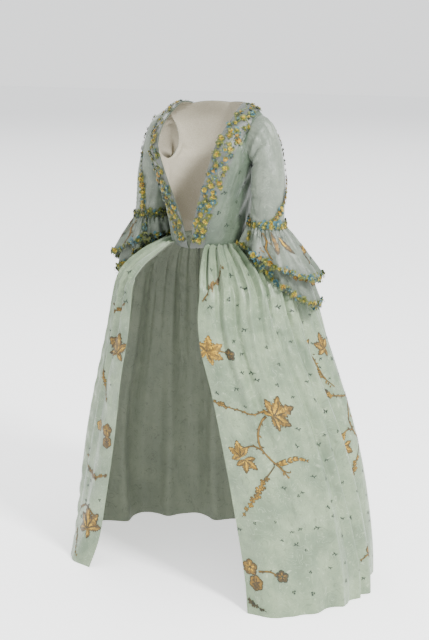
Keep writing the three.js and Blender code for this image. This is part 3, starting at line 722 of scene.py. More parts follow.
# Each stroke: Brocade's method, places, sizes in mm, and the rest of what the method takes.
FRONT_SPRAY = [
    ("lobed", (104, 104), 74, 0.25, SPRAY_LOBES),
    ("stem", [(62, 112), (20, 102), (-20, 112), (-56, 124)], (3.4, 10), 12),
    ("garland", [(-52, 122), (-68, 128), (-88, 134)], 15, 4),
    ("stem", [(62, 96), (34, 70), (22, 36), (26, 6), (48, -26), (74, -54), (86, -76)], (4.4, 12), 12),
    ("stem", [(70, -48), (88, -58), (98, -58)], (3, 8), 2),
    ("stem", [(28, 4), (2, 14), (-30, 6)], (3.6, 10), 5),
    ("lobed", (-44, -2), 46, 2.1, BRIGHT_LOBES, BRIGHT),
    ("lobed", (-22, -38), 42, -1.2, LOW_LOBES),
    ("ear", [(58, -40), (92, -28), (128, -24), (156, -32)], 14, 13),
    ("garland", [(56, -42), (24, -74), (-2, -112), (-34, -150), (-66, -190)], 19, 9, 0.22),
]
SMALL_SPRAY = [
    ("flower", (-30, 12), 19),
    ("flower", (-20, -20), 18, 6, PLAIN),
    ("stem", [(-10, 6), (14, 8), (30, 0)], (3, 8), 3),
    ("flower", (40, -2), 15, 5, DARK),
    ("stem", [(-44, 6), (-56, 0), (-66, -4)], (2.4, 7), 2),
]

# A trumpet and a leafy blossom over a long beaded stalk.
TRAIL = [
    ("lobed", (0, 0), 54, math.pi / 2 - 0.5, TRUMPET_LOBES),
    ("leaf", (66, 0), (36, 13), math.pi / 2 + 0.5, 0.4, IN_BROWN, 0.1),
    ("leaf", (66, 2), (30, 5), math.pi / 2 + 0.5, 0.4, IN_LIGHT, 0.0, 1.0),
    ("stem", [(62, -4), (46, -30), (40, -60), (26, -104), (0, -136)], (3, 9), 8),
    ("garland", [(42, -66), (34, -88), (20, -112), (0, -136)], 9, 8),
]

# Single figures near the front edges, in their places on the cloth.
LEFT_HIP = [
    ("lobed", (34, 738), 54, 0.4, HIP_LOBES, GILT),
    ("flower", (86, 726), 18, 5, DARK),
    ("stem", [(52, 735), (66, 732), (74, 728)], (2.6, 7), 2),
    ("swag", [(14, 866), (40, 896), (74, 918), (112, 950)], 12),
]
LEFT_HEM = [("garland", [(8, 42), (26, 30), (60, 17)], 12, 7, 0.0, DIM)]
RIGHT_FRONT = [
    ("flower", (82, 444), 20, 5, BRIGHT),
    ("flower", (34, 440), 23),
    ("flower", (28, 404), 21, 6, PLAIN),
    ("swag", [(160, 330), (112, 296), (62, 284), (8, 304)], 18),
    ("lobed", (62, 142), 78, 1.2, HEM_LOBES),
    ("stem", [(152, 104), (132, 158), (88, 182), (40, 166), (14, 120)], (5, 11), 10),
    ("garland", [(148, 112), (118, 74), (92, 46), (62, 20)], 12, 10, 0.1),
    ("swag", [(150, 812), (112, 800), (70, 806), (24, 832)], 12),
]
LOOSE_FLOWER = [("flower", (446, 586), 17, 5, DARK)]

# What each side shows near its front edge: figure, place and scale.
FRONT_EDGE = {
    "left": [(FRONT_SPRAY, 88, 462), (LEFT_HIP,), (SMALL_SPRAY, 62, 116, 1.3), (LEFT_HEM,)],
    "right": [(TRAIL, 46, 704, 1.3), (RIGHT_FRONT,)],
}

# The large spray's repeats round each half: distance from the front edge and height.
REPEATS = {"left": [(520, 452), (850, 600)], "right": [(500, 520), (840, 380)]}
SMALL_SPRAY_BELOW = 336
LOWEST_SPRAY = 60
TRAIL_ABOVE = 262

# Places that the sprigs keep off: x, z and radius.
FRONT_FIGURES = [(88, 462, 105), (160, 560, 75), (60, 116, 62), (40, 735, 62), (60, 330, 60)]

# Cut pieces of the same figures, as they fall on a flounce: heights are shares of its depth.
FLOUNCE_FIGURES = {
    "upper": [
        ("leaf", (178, 0.82), (78, 24), -1.35, -0.35, IN_BROWN, 0.14),
        ("leaf", (180, 0.8), (64, 13), -1.3, -0.35, IN_GOLD, 0.12, 1.0),
        ("leaf", (206, 0.74), (58, 20), -1.15, 0.3, IN_BROWN, 0.14),
        ("leaf", (207, 0.72), (46, 10), -1.15, 0.3, IN_LIGHT, 0.12, 1.0),
        ("stem", [(150, 0.76), (162, 0.56), (158, 0.34), (172, 0.14)], (5, 13), 9),
        ("lobed", (330, 0.4), 44, -0.6, FLOUNCE_LOBES),
        ("stem", [(320, 0.5), (300, 0.62), (306, 0.8)], (3, 9), 5),
    ],
    "lower": [
        ("garland", [(250, 0.4), (286, 0.32), (330, 0.36)], 13, 7),
        ("flower", (420, 0.3), 16),
    ],
}


def brocade_skirt(b, side):
    """Figures near the front edge as worn, and the repeats of the brocade round the side and the back."""
    for figure, *where in FRONT_EDGE[side]:
        b.draw(figure, *where)
    occupied = list(FRONT_FIGURES)
    for x, z in REPEATS[side]:
        b.draw(FRONT_SPRAY, x, z)
        below = z - SMALL_SPRAY_BELOW
        if below > LOWEST_SPRAY:
            b.draw(SMALL_SPRAY, x - 30, below, 1.3)
        b.draw(TRAIL, x - 40, z + TRAIL_ABOVE, 0.9, flip=-1)
        occupied += [(x, z, 105), (x - 30, below, 60)]
    b.draw(LOOSE_FLOWER)
    b.sprigs(76, 40, 975, keep_off=occupied)


def brocade_flounce(b, kind):
    """The flounce's figures, and sprigs round its front half."""
    low = b.heights.min()
    drop = b.heights.max() - low
    b.draw(FLOUNCE_FIGURES[kind], z=low, drop=drop)
    for x in range(40, 560, 86):
        b.sprig(x + b.rng.uniform(-15, 15), low + drop * b.rng.uniform(0.2, 0.75))


# ---------- fly fringe ----------

# A petal's reach and half width, from its foot to its tip, in radii of the blossom.
PETAL_REACH = np.array([0.1, 0.5, 0.86, 1.0])
PETAL_HALF = np.array([0.1, 0.4, 0.42, 0.18])

# Colour of the petals, of the heart, and how often it comes.
FLY_MIX = [
    (F_YELLOW, F_ORANGE, 0.42), (F_ORANGE, F_YELLOW, 0.12), (F_GREEN, F_YELLOW, 0.26), (F_TEAL, F_PALE, 0.2),
]
FLY_DARK = [
    (F_GREEN, F_YELLOW, 0.4), (F_DARK, F_GREEN, 0.4), (F_YELLOW, F_ORANGE, 0.1), (F_TEAL, F_PALE, 0.1),
]
FLY_SMALL = [(F_GREEN, F_YELLOW, 0.6), (F_YELLOW, F_ORANGE, 0.4)]
FLY_GOLDEN = [(F_ORANGE, F_YELLOW, 0.45), (F_YELLOW, F_ORANGE, 0.35), (F_GREEN, F_YELLOW, 0.2)]


class Fringe:
    """Blossoms and knotted threads of floss along a line on a sheet."""

    def __init__(self, mirror, rng):
        self.decor, self.rng = Decor(mirror), rng

    def petals(self, p, n, a, b, count, radius, tilt, index, turn):
        """Petals about p, across the normal n, which rise from it by tilt; a and b lie along the cloth."""
        reach, half = PETAL_REACH * radius, PETAL_HALF * radius
        for k in range(count):
            angle = turn + 2 * np.pi * (k + self.rng.uniform(-0.12, 0.12)) / count
            along = math.cos(angle) * a + math.sin(angle) * b
            across = -math.sin(angle) * a + math.cos(angle) * b
            slope = math.tan(tilt * self.rng.uniform(0.7, 1.3))
            rise = slope * reach * (1 - 0.35 * reach / radius)
            rows = []
            for r, w, h in zip(reach, half, rise):
                rows.append(
                    [p + along * r + across * w * s + n * (h + (0.14 * w if s else 0)) for s in (-1, 0, 1)]
                )
            self.decor.strip(np.array(rows), index)

    def blossom(self, sheet, row, column, radius, index, centre, lift, lean):
        """Three whorls of petals on a place of the sheet; gives the place, the way out and two ways along."""
        (p, beside), (n, _) = sheet.sample([row, row], [column, column + 0.2], lift)
        a = beside - p
        a = unit(a - n * a.dot(n))
        n = unit(n + lean)
        a = unit(a - n * a.dot(n))
        b = np.cross(n, a)
        turn = self.rng.uniform(0, 6.28)
        self.petals(p, n, a, b, 5, radius, 0.35, index, turn)
        self.petals(p + n * radius * 0.16, n, a, b, 5, radius * 0.66, 0.75, index, turn + 0.6)
        self.petals(p + n * radius * 0.3, n, a, b, 4, radius * 0.34, 0.95, centre, turn)
        return p, n, a, b

    def thread(self, points, width, index, normal):
        """A flat thread of floss, a little raised along one edge."""
        across = unit(np.cross(normal, np.gradient(points, axis=0)))
        rows = np.stack([points - across * width / 2, points + across * width / 2 + normal * 0.3], 1)
        self.decor.strip(rows, index)

    def tuft(self, p, n, a, b, length, index, down):
        """Threads of floss that stand out of a knot, each with a tip of petals; down lets them hang."""
        for _ in range(4):
            angle = self.rng.uniform(0, 6.28)
            d = unit(math.cos(angle) * a + math.sin(angle) * b + np.array([0, 0, -down]))
            curl = self.rng.uniform(-0.35, 0.35) * np.cross(n, d)
            t = np.linspace(0, 1, 5)[:, None]
            reach = length * self.rng.uniform(0.6, 1.1)
            rise = 1.5 + reach * 0.35 * np.sin(np.pi * t * 0.8)
            line = p + d * reach * t + curl * reach * t**2 + n * rise
            self.thread(line, 1.1, index, n)
            self.petals(line[-1], n, a, b, 3, 2.2, 0.5, index, angle)

    def lay(self, sheet, line, spacing, radius, mixture, lift, wander=0.0, lean=0.0, down=0.0, scatter=0.0):
        """Blossoms every spacing mm along a line of (row, column) places, on two knotted threads.

        The line wanders from side to side; the blossoms lean and scatter off it; down pulls their threads.
        """
        rng = self.rng
        shares = np.array([share for _, _, share in mixture])
        shares = shares / shares.sum()
        points, _ = sheet.sample(line[:, 0], line[:, 1], lift)
        reach = reach_along(points)
        count = max(2, int(reach[-1] / spacing))
        for k in range(count):
            row, column = points_at((k + 0.5 + rng.uniform(-0.2, 0.2)) / count * reach[-1], reach, line)
            if wander:
                column += wander * (math.sin(k * 1.9) + 0.45 * rng.uniform(-1, 1))
            column += scatter * rng.uniform(-1, 1) / 3
            row += scatter * rng.uniform(-1, 1) / 2
            petal, heart, _ = mixture[int(rng.choice(len(mixture), p=shares))]
            if wander and rng.random() < 0.05:
                continue
            r = radius * rng.uniform(0.62, 1.18)
            p, n, a, b = self.blossom(sheet, row, column, r, petal, heart, lift, lean)
            leaf = F_GREEN if rng.random() < 0.75 else F_TEAL
            self.petals(p + n * 0.4, n, a, b, 3, r * 1.5, 0.22, leaf, rng.uniform(0, 6.28))
            self.tuft(p, n, a, b, r * 1.5, F_GREEN if rng.random() < 0.5 else F_DARK, down)
        d = np.linspace(0, reach[-1], max(8, int(reach[-1] / 4)))
        rows, columns = points_at(d, reach, line).T
        if wander:
            columns = columns + wander * 0.8 * np.sin(d / spacing * 1.9)
        p, n = sheet.sample(rows, columns, lift + 0.5)
        side = unit(np.cross(n, np.gradient(p, axis=0)))
        for shift, colour in ((0, F_GREEN), (1.3, F_PALE)):
            waver = np.sin(d / 3.1 + shift)[:, None] * 1.2
            self.thread(p + side * waver, 1.6, colour, n.mean(0))


# ---------- materials ----------


class Tree:
    """The nodes of a material or of the sky."""

    def __init__(self, tree):
        self.nodes, self.links = tree.nodes, tree.links

    def feed(self, socket, value):
        """Gives a socket a number or a colour, or links another socket to it."""
        if isinstance(value, bpy.types.NodeSocket):
            self.links.new(value, socket)
        else:
            socket.default_value = (*value, 1) if socket.type == "RGBA" else value

    def add(self, kind, inputs=None, output=0, **settings):
        """A new node, known by the socket it puts out."""
        n = self.nodes.new("ShaderNode" + kind)
        for k, value in settings.items():
            setattr(n, k, value)
        for k, value in (inputs or {}).items():
            self.feed(n.inputs[k], value)
        return n.outputs[output]

    def mixed(self, factor, a, b):
        return self.add("Mix", {0: factor, 6: a, 7: b}, output=2, data_type="RGBA")

    def maths(self, operation, value, *others):
        """The values joined one after another by the same operation."""
        for other in others:
            value = self.add("Math", {0: value, 1: other}, operation=operation)
        return value

    def band(self, value, low, high):
        """0 at low and 1 at high, with a soft step between them."""
        return self.add("MapRange", {0: value, 1: low, 2: high}, interpolation_type="SMOOTHSTEP")

    def noise(self, where, **inputs):
        return self.add("TexNoise", {"Vector": where, **inputs})


def material(name, colour, roughness=0.6, sheen=0.0, specular=0.4):
    m = bpy.data.materials.new(name)
    m.use_nodes = True
    tree = Tree(m.node_tree)
    shader = tree.nodes["Principled BSDF"].inputs
    tree.feed(shader["Base Color"], colour)
    tree.feed(shader["Roughness"], roughness)
    tree.feed(shader["Specular IOR Level"], specular)
    tree.feed(shader["Sheen Weight"], sheen)
    tree.feed(shader["Sheen Roughness"], 0.4)
    return m, tree, shader


def silk(name, colour, shade, figure_colour, figure=0.6, roughness=0.42, sheen=0.25):
    """Silk with a cross rib, soft clouds of tone and a pale self-coloured figure of scrolling lines."""
    m, tree, shader = material(name, colour, roughness, sheen, 0.5)
    tree.feed(shader["Sheen Tint"], (0.9, 0.95, 0.92))
    where = tree.add("UVMap", uv_map="cloth")
    clouds = tree.noise(where, Scale=9.0, Detail=5.0, Roughness=0.62)
    base = tree.mixed(tree.band(clouds, 0.3, 0.7), colour, shade)

    # the figure: contour lines of a slow field, broken up by a second one
    field = tree.noise(where, Scale=21.0, Detail=2.2, Roughness=0.45, Distortion=1.3)
    ripple = tree.maths("PINGPONG", tree.maths("MULTIPLY", field, 9.0), 0.5)
    breaks = tree.noise(where, Scale=38.0, Detail=2.0)
    dark_line = tree.maths("MULTIPLY", tree.band(ripple, 0.36, 0.47), 0.65, tree.band(breaks, 0.56, 0.42))
    base = tree.mixed(dark_line, base, tuple(0.55 * c for c in colour))
    line = tree.maths("MULTIPLY", tree.band(ripple, 0.11, 0.02), tree.band(breaks, 0.42, 0.6), figure)
    tree.feed(shader["Base Color"], tree.mixed(line, base, figure_colour))

    # rib of the weave, slub and small creases
    rib_size = {"Scale": 420.0, "Distortion": 1.5, "Detail": 1.0}
    rib = tree.add("TexWave", {"Vector": where, **rib_size}, bands_direction="Y")
    slub_place = tree.add("Mapping", {"Vector": where, "Scale": (2.2, 0.5, 1.0)})
    slub = tree.noise(slub_place, Scale=60.0, Detail=3.0)
    crumple_place = tree.add("Mapping", {"Vector": where, "Scale": (1.5, 0.6, 1.0)})
    crumple = tree.noise(crumple_place, Scale=15.0, Detail=2.0, Distortion=0.6)
    height = tree.maths("ADD", tree.maths("MULTIPLY", rib, 0.05), slub)
    for socket, share in ((line, 0.15), (crumple, 7.0)):
        height = tree.maths("ADD", height, tree.maths("MULTIPLY", socket, share))
    tree.feed(shader["Normal"], tree.add("Bump", {"Strength": 0.6, "Distance": 0.0015, "Height": height}))
    return m


def floss(name, colour, other, roughness=0.6, scale=150.0, sheen=0.1):
    """Untwisted silk thread: fine streaks between two colours."""
    m, tree, shader = material(name, colour, roughness, sheen)
    grain = tree.noise(tree.add("TexCoord", output="Object"), Scale=scale, Detail=3.0, Roughness=0.7)
    tree.feed(shader["Base Color"], tree.mixed(tree.band(grain, 0.35, 0.65), colour, other))
    tree.feed(shader["Normal"], tree.add("Bump", {"Strength": 0.4, "Distance": 0.0005, "Height": grain}))
    return m


SILK = silk("brocade_ground", (0.188, 0.245, 0.148), (0.105, 0.15, 0.09), (0.38, 0.43, 0.31), 0.4)
# painted shade: the bodice is cut from the skirt's silk, given here as a darker copy for the shade the bodice lies in
BODICE_SILK_PAINTED_SHADE = silk("bodice_silk_painted_shade", (0.082, 0.112, 0.074), (0.05, 0.073, 0.048), (0.18, 0.215, 0.165), 0.3)
# painted shade: the sleeves are of the skirt's silk, given here as a slightly darker, greyer copy for the shade they
# lie in
SLEEVE_SILK_PAINTED_SHADE = silk("sleeve_silk", (0.168, 0.195, 0.15), (0.10, 0.122, 0.092), (0.34, 0.37, 0.31), 0.3)
# painted shade: the robing is the gown's silk folded back, given here as a much darker, greyer copy toned for the
# light on the band
ROBING_SILK_PAINTED_SHADE = silk("robing_silk", (0.085, 0.096, 0.08), (0.06, 0.068, 0.058), (0.2, 0.215, 0.19), 0.3)
# painted shade: the flounces are of the gown's silk, given here as a darker copy for the shade in and under their
# folds
FLOUNCE_SILK_PAINTED_SHADE = silk("flounce_silk", (0.115, 0.139, 0.104), (0.062, 0.08, 0.057), (0.27, 0.30, 0.24), 0.3)
REVERSE = silk("silk_reverse", (0.19, 0.215, 0.155), (0.155, 0.178, 0.13), (0.25, 0.27, 0.21), 0.25, 0.7, 0.1)
LINEN = floss("linen_lining", (0.42, 0.385, 0.30), (0.34, 0.31, 0.235), 0.85, 400.0, 0.0)
GOLD = floss("gold_floss", (0.185, 0.10, 0.006), (0.04, 0.027, 0.008), scale=70.0)
LIGHT_GOLD = floss("light_gold_floss", (0.42, 0.25, 0.012), (0.12, 0.068, 0.007), scale=80.0)
BROWN = floss("brown_floss", (0.06, 0.038, 0.009), (0.022, 0.018, 0.008), scale=100.0)
DARK_GREEN = floss("dark_green_floss", (0.022, 0.035, 0.022), (0.012, 0.02, 0.015))
YELLOW = floss("yellow_floss", (0.38, 0.29, 0.016), (0.22, 0.17, 0.014))
ORANGE = floss("orange_floss", (0.32, 0.165, 0.01), (0.19, 0.10, 0.008))
LEAF_GREEN = floss("leaf_green_floss", (0.105, 0.12, 0.018), (0.05, 0.066, 0.014))
TEAL = floss("teal_floss", (0.035, 0.105, 0.12), (0.022, 0.07, 0.09))
PALE_GREEN = floss("pale_green_floss", (0.2, 0.25, 0.14), (0.14, 0.19, 0.1))
BROCADE = [GOLD, LIGHT_GOLD, BROWN, DARK_GREEN, PALE_GREEN]
FLY = [YELLOW, ORANGE, LEAF_GREEN, TEAL, DARK_GREEN, PALE_GREEN]

# ---------- the cloths of the left side ----------

FRONT_STEP, ROBING_COLUMNS, PANEL_COLUMNS = 6, 10, 26
BACK_STEP, BACK_COLUMNS = 8, 18
SLEEVE_COLUMNS, SLEEVE_STEP = 96, 9
FLOUNCE_COLUMNS = 264
GATHERS, GATHER_DEPTH = 30, 2.4
FLOUNCE_FRONT = [(4, 0.19), (16, 0.185), (30, 0.2), (46, 0.19)]  # row and share of the upper flounce's fringe
COLUMNS_PER_SHARE = 6
SKIRT_COLUMNS = 2 * PLEATS * COLUMNS_PER_SHARE
SKIRT_LINES = 118

# Panel, and the forty-fourths of the half skirt between which it lies.
SKIRT_PANELS = [("front", 0, 16), ("side", 16, 31), ("back", 31, 44)]

# Depth of the pleats, from the hem up to the waist.
PLEAT_HEIGHTS = [12, 350, 620, 800, 900, 966, 1003, 1007.5]
PLEAT_DEPTHS = [0, 0.4, 1.2, 2.8, 4.8, 5.4, 4.2, 0]
KNIFE_EDGE = (700, 920)  # heights between which the pleats sharpen
FRONT_PLEATS = (880, 940)  # heights between which the pleats at the front edge come in


def at_side_seam(column):
    """Turns a column's normals below the underarm straight to the side."""

    def fix(sheet):
        low = sheet.points[:, column, 2] <= UNDERARM_Z
        sheet.normals[low, column] = unit(sheet.normals[low, column] * (1, 0, 1))

    return fix


def at_centre_back(sheet):
    """Turns the last column's normals straight back, so that the halves meet."""
    sheet.normals[:, -1] = unit(sheet.normals[:, -1] * (0, 1, 1))


def front_sheet():
    rows = [strap_seam(), *FRONT_ROWS]
    points = []
    for s in np.arange(0, (len(rows) - 1) * FRONT_STEP + 1) / FRONT_STEP:
        edge, handle, end, robing = row_shape(rows, s)
        line = arch(edge, handle, end, np.linspace(0, 1, 80))
        robing_share = robing / np.linalg.norm(np.diff(line, axis=0), axis=1).sum()
        points.append(evenly(line, two_runs(0, robing_share, 1, ROBING_COLUMNS, PANEL_COLUMNS)))
    return Sheet(np.array(points), outward=at_side_seam(-1))


def back_sheet():
    points = []
    steps = (len(BACK_ROWS) - 1) * BACK_STEP
    for k in range(steps + 1):
        edge, handle, end, _ = row_shape(BACK_ROWS, k / BACK_STEP)
        seam = mix(*BACK_SEAM, k / steps)
        points.append(arch(edge, handle, end, two_runs(1, seam, 0, BACK_COLUMNS, BACK_COLUMNS)))

    def fix(sheet):
        at_side_seam(0)(sheet)
        at_centre_back(sheet)

    return Sheet(np.array(points), outward=fix)


def sleeve_loops(shares):
    """The sleeve's rings, armhole first, at shares of the way round from the underarm by the front."""
    loops = [evenly(ARMHOLE_LINE, np.mod(shares, 1)) + (SLEEVE_START, 0, 0)]
    outward = (1 - np.cos(2 * np.pi * shares)) / 2
    for inner_x, inner_z, outer_x, outer_z, middle_y, half_depth, *_ in SLEEVE_RINGS:
        y = middle_y - half_depth * np.sin(2 * np.pi * shares)
        loops.append(np.stack([mix(inner_x, outer_x, outward), y, mix(inner_z, outer_z, outward)], -1))
    return np.array(loops)


def sleeve_sheet():
    shares = np.arange(SLEEVE_COLUMNS) / SLEEVE_COLUMNS
    loops = sleeve_loops(shares)
    rows = np.arange(0, (len(loops) - 1) * SLEEVE_STEP + 1) / SLEEVE_STEP
    return Sheet(catmull(loops, rows), closed=True)


def skirt_forward(half_width, edge_x, edge_y):
    """How far a level reaches forward at its middle, for its front edge to lie where it does."""
    edge = (edge_x / half_width) ** SKIRT_ROUNDNESS
    return (SKIRT_MIDDLE_Y - edge_y) / (1 - edge) ** (1 / SKIRT_ROUNDNESS)


SKIRT_SIZES = np.array([WAIST] + [(r[0], r[1], skirt_forward(*r[1:4]), r[4]) for r in SKIRT_ROWS])[::-1]


def clear_of_skirt(p, margin):
    """Pushes points that would be inside the skirt straight out onto it."""
    heights, *sizes = SKIRT_SIZES.T
    half, forward, back = (np.interp(p[:, 2], heights, size) + margin for size in sizes)
    y = p[:, 1] - SKIRT_MIDDLE_Y
    n = SKIRT_ROUNDNESS
    reach = (np.abs(p[:, 0] / half) ** n + np.abs(y / np.where(y > 0, back, forward)) ** n) ** (1 / n)
    scale = np.where((reach < 1) & (p[:, 2] <= WAIST[0]), 1 / np.maximum(reach, 1e-6), 1)
    return np.stack([p[:, 0] * scale, SKIRT_MIDDLE_Y + y * scale, p[:, 2]], -1)


def flounce_sheet(kind, seed):
    """A flounce: it hangs and flares from the sleeve's edge in waves, and gives way to the skirt."""
    f = FLOUNCES[kind]
    shares = np.arange(FLOUNCE_COLUMNS) / FLOUNCE_COLUMNS
    edge = sleeve_loops(shares)[-1]
    centre = (edge[0] + edge[FLOUNCE_COLUMNS // 2]) / 2
    out = unit((edge - centre) * (1, 1, 0))
    opened = (1 - np.cos(2 * np.pi * (shares - FLOUNCE["shallow_at"]))) / 2
    length = mix(f["shallow"], f["deep"], opened ** FLOUNCE["bias"])
    turn = 2 * np.pi * FLOUNCE["waves"] * shares
    wander = 0.5 * np.sin(2 * np.pi * shares * 3 + seed) + 0.35 * np.sin(2 * np.pi * shares * 5 + 2 * seed)
    height = 1 + 0.3 * np.sin(2 * np.pi * shares * 2 + seed)
    wave = 1.25 * np.cos(turn + wander) * height + 0.3 * np.cos(2 * turn + 1)
    clearance = mix(f["near_body"], f["outside"], np.clip(0.5 + out[:, 0], 0, 1))
    lean_x, lean_y = FLOUNCE["lean"]

    def shape(drop):
        t = drop / FLOUNCE["reach"]
        spread = f["flare"] * t**0.85 + f["wave"] * np.minimum(1, t * 1.2) * wave
        lean = np.stack([lean_x * t, lean_y * t, -FLOUNCE["fall"] * drop], -1)
        return lean + out * spread[:, None]

    head = edge + out * f["lift"]
    if kind == "lower":
        head = head - (0, 0, 2 * SEAM)
    line = [head]
    steps = FLOUNCE["steps"]
    for k in range(steps):
        move = shape((k + 1) / steps * length) - shape(k / steps * length)
        size = np.linalg.norm(move, axis=1, keepdims=True)
        ahead = unit(clear_of_skirt(line[-1] + move, clearance) - line[-1]) * size
        line.append(clear_of_skirt(line[-1] + ahead, clearance))
    if kind == "upper":
        line.insert(0, sleeve_loops(shares)[-2] + out * f["lift"])

    down = np.linspace(0, 1, len(line))[:, None]
    gather = np.cos(2 * np.pi * (GATHERS * shares + 0.25 * np.sin(2 * np.pi * 3 * shares + seed)))
    uneven = 1 + 0.4 * np.sin(2 * np.pi * 4 * shares + 1.3 * seed)
    relief = GATHER_DEPTH * gather * uneven * np.exp(-((down - 0.2) / 0.22) ** 2)
    relief = relief + 2.6 * np.cos(2 * np.pi * GATHERS / 2 * shares + seed) * smooth(down * 1.6)
    return Sheet(np.array(line), closed=True).moved(relief)


def skirt_pleat(share, z, seed):
    """Knife pleats from the waist, which open out and fade down the skirt."""
    place = share + 0.006 * np.sin(2 * np.pi * (3 * share) + seed)
    turn = PLEATS * (place + 0.004 * np.sin(2 * np.pi * 7 * share))
    knife = sum(np.sin(2 * np.pi * k * turn) / k for k in (1, 2, 3)) * 0.9
    soft = np.sin(2 * np.pi * turn) + 0.2 * np.sin(4 * np.pi * turn + 0.6)
    saw = mix(soft, knife, smooth((z - KNIFE_EDGE[0]) / (KNIFE_EDGE[1] - KNIFE_EDGE[0])))
    size = np.interp(z, PLEAT_HEIGHTS, PLEAT_DEPTHS)
    uneven = 1 + 0.35 * np.sin(2 * np.pi * 5.3 * share + seed)
    uneven = uneven + 0.25 * np.sin(2 * np.pi * 11.7 * share + 2 * seed)
    # below the hip the pleats are faint at the front edge
    front = np.where(z > 900, 1.0, np.clip(0.1 + (share - 0.08) / 0.16, 0.1, 1))
    low, high = FRONT_PLEATS
    front = mix(front, 1.0, np.clip((z - low) / (high - low), 0, 1))
    return saw * size * uneven * front


def skirt_folds(share, z, seed):
    """The table's large folds, which wander a little on their way down."""
    total = np.zeros(np.broadcast(share, z).shape)
    down = np.clip((FOLD_HEIGHTS[0] - z) / (FOLD_HEIGHTS[0] - FOLD_HEIGHTS[2]), 0, 1)
    for k, fold in enumerate(FOLDS):
        at = mix(fold["hip"], fold["hem"], down) + 0.006 * np.sin(z / 130 + 1.7 * k + seed)
        depth = np.interp(-z, [-h for h in (FOLDS_FROM, *FOLD_HEIGHTS)], (0, *fold["depth"]))
        width = fold["width"] * mix(0.75, 1.0, down)
        total = total + depth * np.exp(-(((share - at) / width) ** 2))
    return total


def waist_line():
    """The lower edge of the bodice, from where the skirt starts to the centre back."""
    a, c, b, _ = row_shape(FRONT_ROWS, len(FRONT_ROWS) - 1)
    front = arch(a, c, b, np.linspace(SKIRT_FROM, 1, 40))
    a, c, b, _ = row_shape(BACK_ROWS, len(BACK_ROWS) - 1)
    return np.concatenate([front, arch(a, c, b, np.linspace(1, 0, 40))[1:]])


def skirt_level(row, shares):
    """Points at shares of the way round one row of the skirt's table, from the front edge."""
    z, half_width, edge_x, edge_y, back = row
    n = SKIRT_ROUNDNESS
    start = math.asin(math.sqrt((edge_x / half_width) ** n))
    angle = np.linspace(start, np.pi, 200)
    c = np.cos(angle)
    reach = np.where(c > 0, skirt_forward(half_width, edge_x, edge_y), back)
    x = half_width * np.abs(np.sin(angle)) ** (2 / n)
    x[-1] = 0
    y = SKIRT_MIDDLE_Y - np.sign(c) * reach * np.abs(c) ** (2 / n)
    return evenly(np.stack([x, y, np.full_like(x, z)], -1), shares)


def skirt_sheet(seed):
    shares = np.arange(SKIRT_COLUMNS + 1) / SKIRT_COLUMNS
    levels = np.array([evenly(waist_line(), shares)] + [skirt_level(r, shares) for r in SKIRT_ROWS])
    levels[-1, :, 2] -= HEM_DROP
    points = catmull(levels, np.linspace(0, 1, SKIRT_LINES) * (len(levels) - 1))
    z = points[..., 2]
    level_off = smooth((z - WAIST_BAND) / 20)[..., None]  # at the waist the relief moves nothing up or down
    normals = unit(Sheet(points, outward=at_centre_back).normals * (1 - level_off * (0, 0, 1)))
    relief = skirt_pleat(shares[None], z, seed) + skirt_folds(shares[None], z, seed)
    points = points + normals * relief[..., None]
    points[:, -1, 0] = 0
    points[-1, :, 2] = levels[-1, :, 2].min()
    return Sheet(points, outward=at_centre_back)


CREASE_POINTS = 14
EDGE_FADE = 3  # rows or columns over which a crease dies away to a cloth's edge


def creased(sheet, creases):
    """Adds troughs and ridges: from and to in (row share, column share), half width in mm, depth in mm."""
    nr, nc = sheet.points.shape[:2]
    total = np.zeros((nr, nc))
    t = np.linspace(0, 1, CREASE_POINTS)
    for (r0, c0), (r1, c1), width, depth in creases:
        path, _ = sheet.sample(mix(r0, r1, t) * (nr - 1), mix(c0, c1, t) * (nc - 1))
        gap = np.linalg.norm(sheet.points[:, :, None] - path[None, None], axis=3)
        nearest = gap.argmin(2)
        fade = np.sin(np.pi * np.clip((nearest + 0.5) / CREASE_POINTS, 0, 1)) ** 0.6
        total += depth * fade * np.exp(-((gap.min(2) / width) ** 2))
    total *= smooth(np.minimum(np.arange(nr), nr - 1 - np.arange(nr)) / EDGE_FADE)[:, None]
    if not sheet.closed:
        total *= smooth(np.minimum(np.arange(nc), nc - 1 - np.arange(nc)) / EDGE_FADE)[None]
    return sheet.moved(total)


# Creases: from and to (row share, column share), width, depth.
BODICE_CREASES = [
    ((0.24, 0.93), (0.5, 0.94), 6, -7.5),
    ((0.31, 0.9), (0.36, 0.44), 5, -6.0),
    ((0.34, 0.92), (0.39, 0.5), 4, 5.0),
    ((0.38, 0.95), (0.43, 0.46), 5, -7.0),
    ((0.42, 0.96), (0.47, 0.55), 4, 4.5),
    ((0.46, 0.98), (0.53, 0.56), 6, -5.5),
    ((0.52, 1.0), (0.6, 0.6), 8, -5.0),
    ((0.25, 0.92), (0.28, 0.55), 5, -4.5),
    ((0.66, 0.98), (0.8, 0.62), 10, -4.0),
    ((0.78, 1.0), (0.95, 0.66), 9, -4.0),
    ((0.86, 0.98), (1.0, 0.72), 7, 3.0),
    ((0.5, 0.5), (0.72, 0.42), 14, 4.0),
    ((0.6, 0.42), (0.95, 0.4), 6, -3.0),
]
BACK_CREASES = [
    ((0.12, 0.02), (0.5, 0.02), 7, -5.0),
    ((0.2, 0.12), (0.46, 0.05), 8, -3.5),
    ((0.3, 0.2), (0.5, 0.3), 12, -2.5),
    ((0.34, 0.05), (0.4, 0.32), 6, 2.5),
    ((0.7, 0.02), (0.8, 0.35), 9, -2.5),
    ((0.88, 0.0), (0.97, 0.4), 8, -3.0),
    ((0.94, 0.1), (1.0, 0.5), 6, 2.2),
    ((0.55, 0.0), (0.62, 0.22), 9, 2.5),
    ((0.05, 0.5), (0.98, 0.5), 3, -1.2),
]
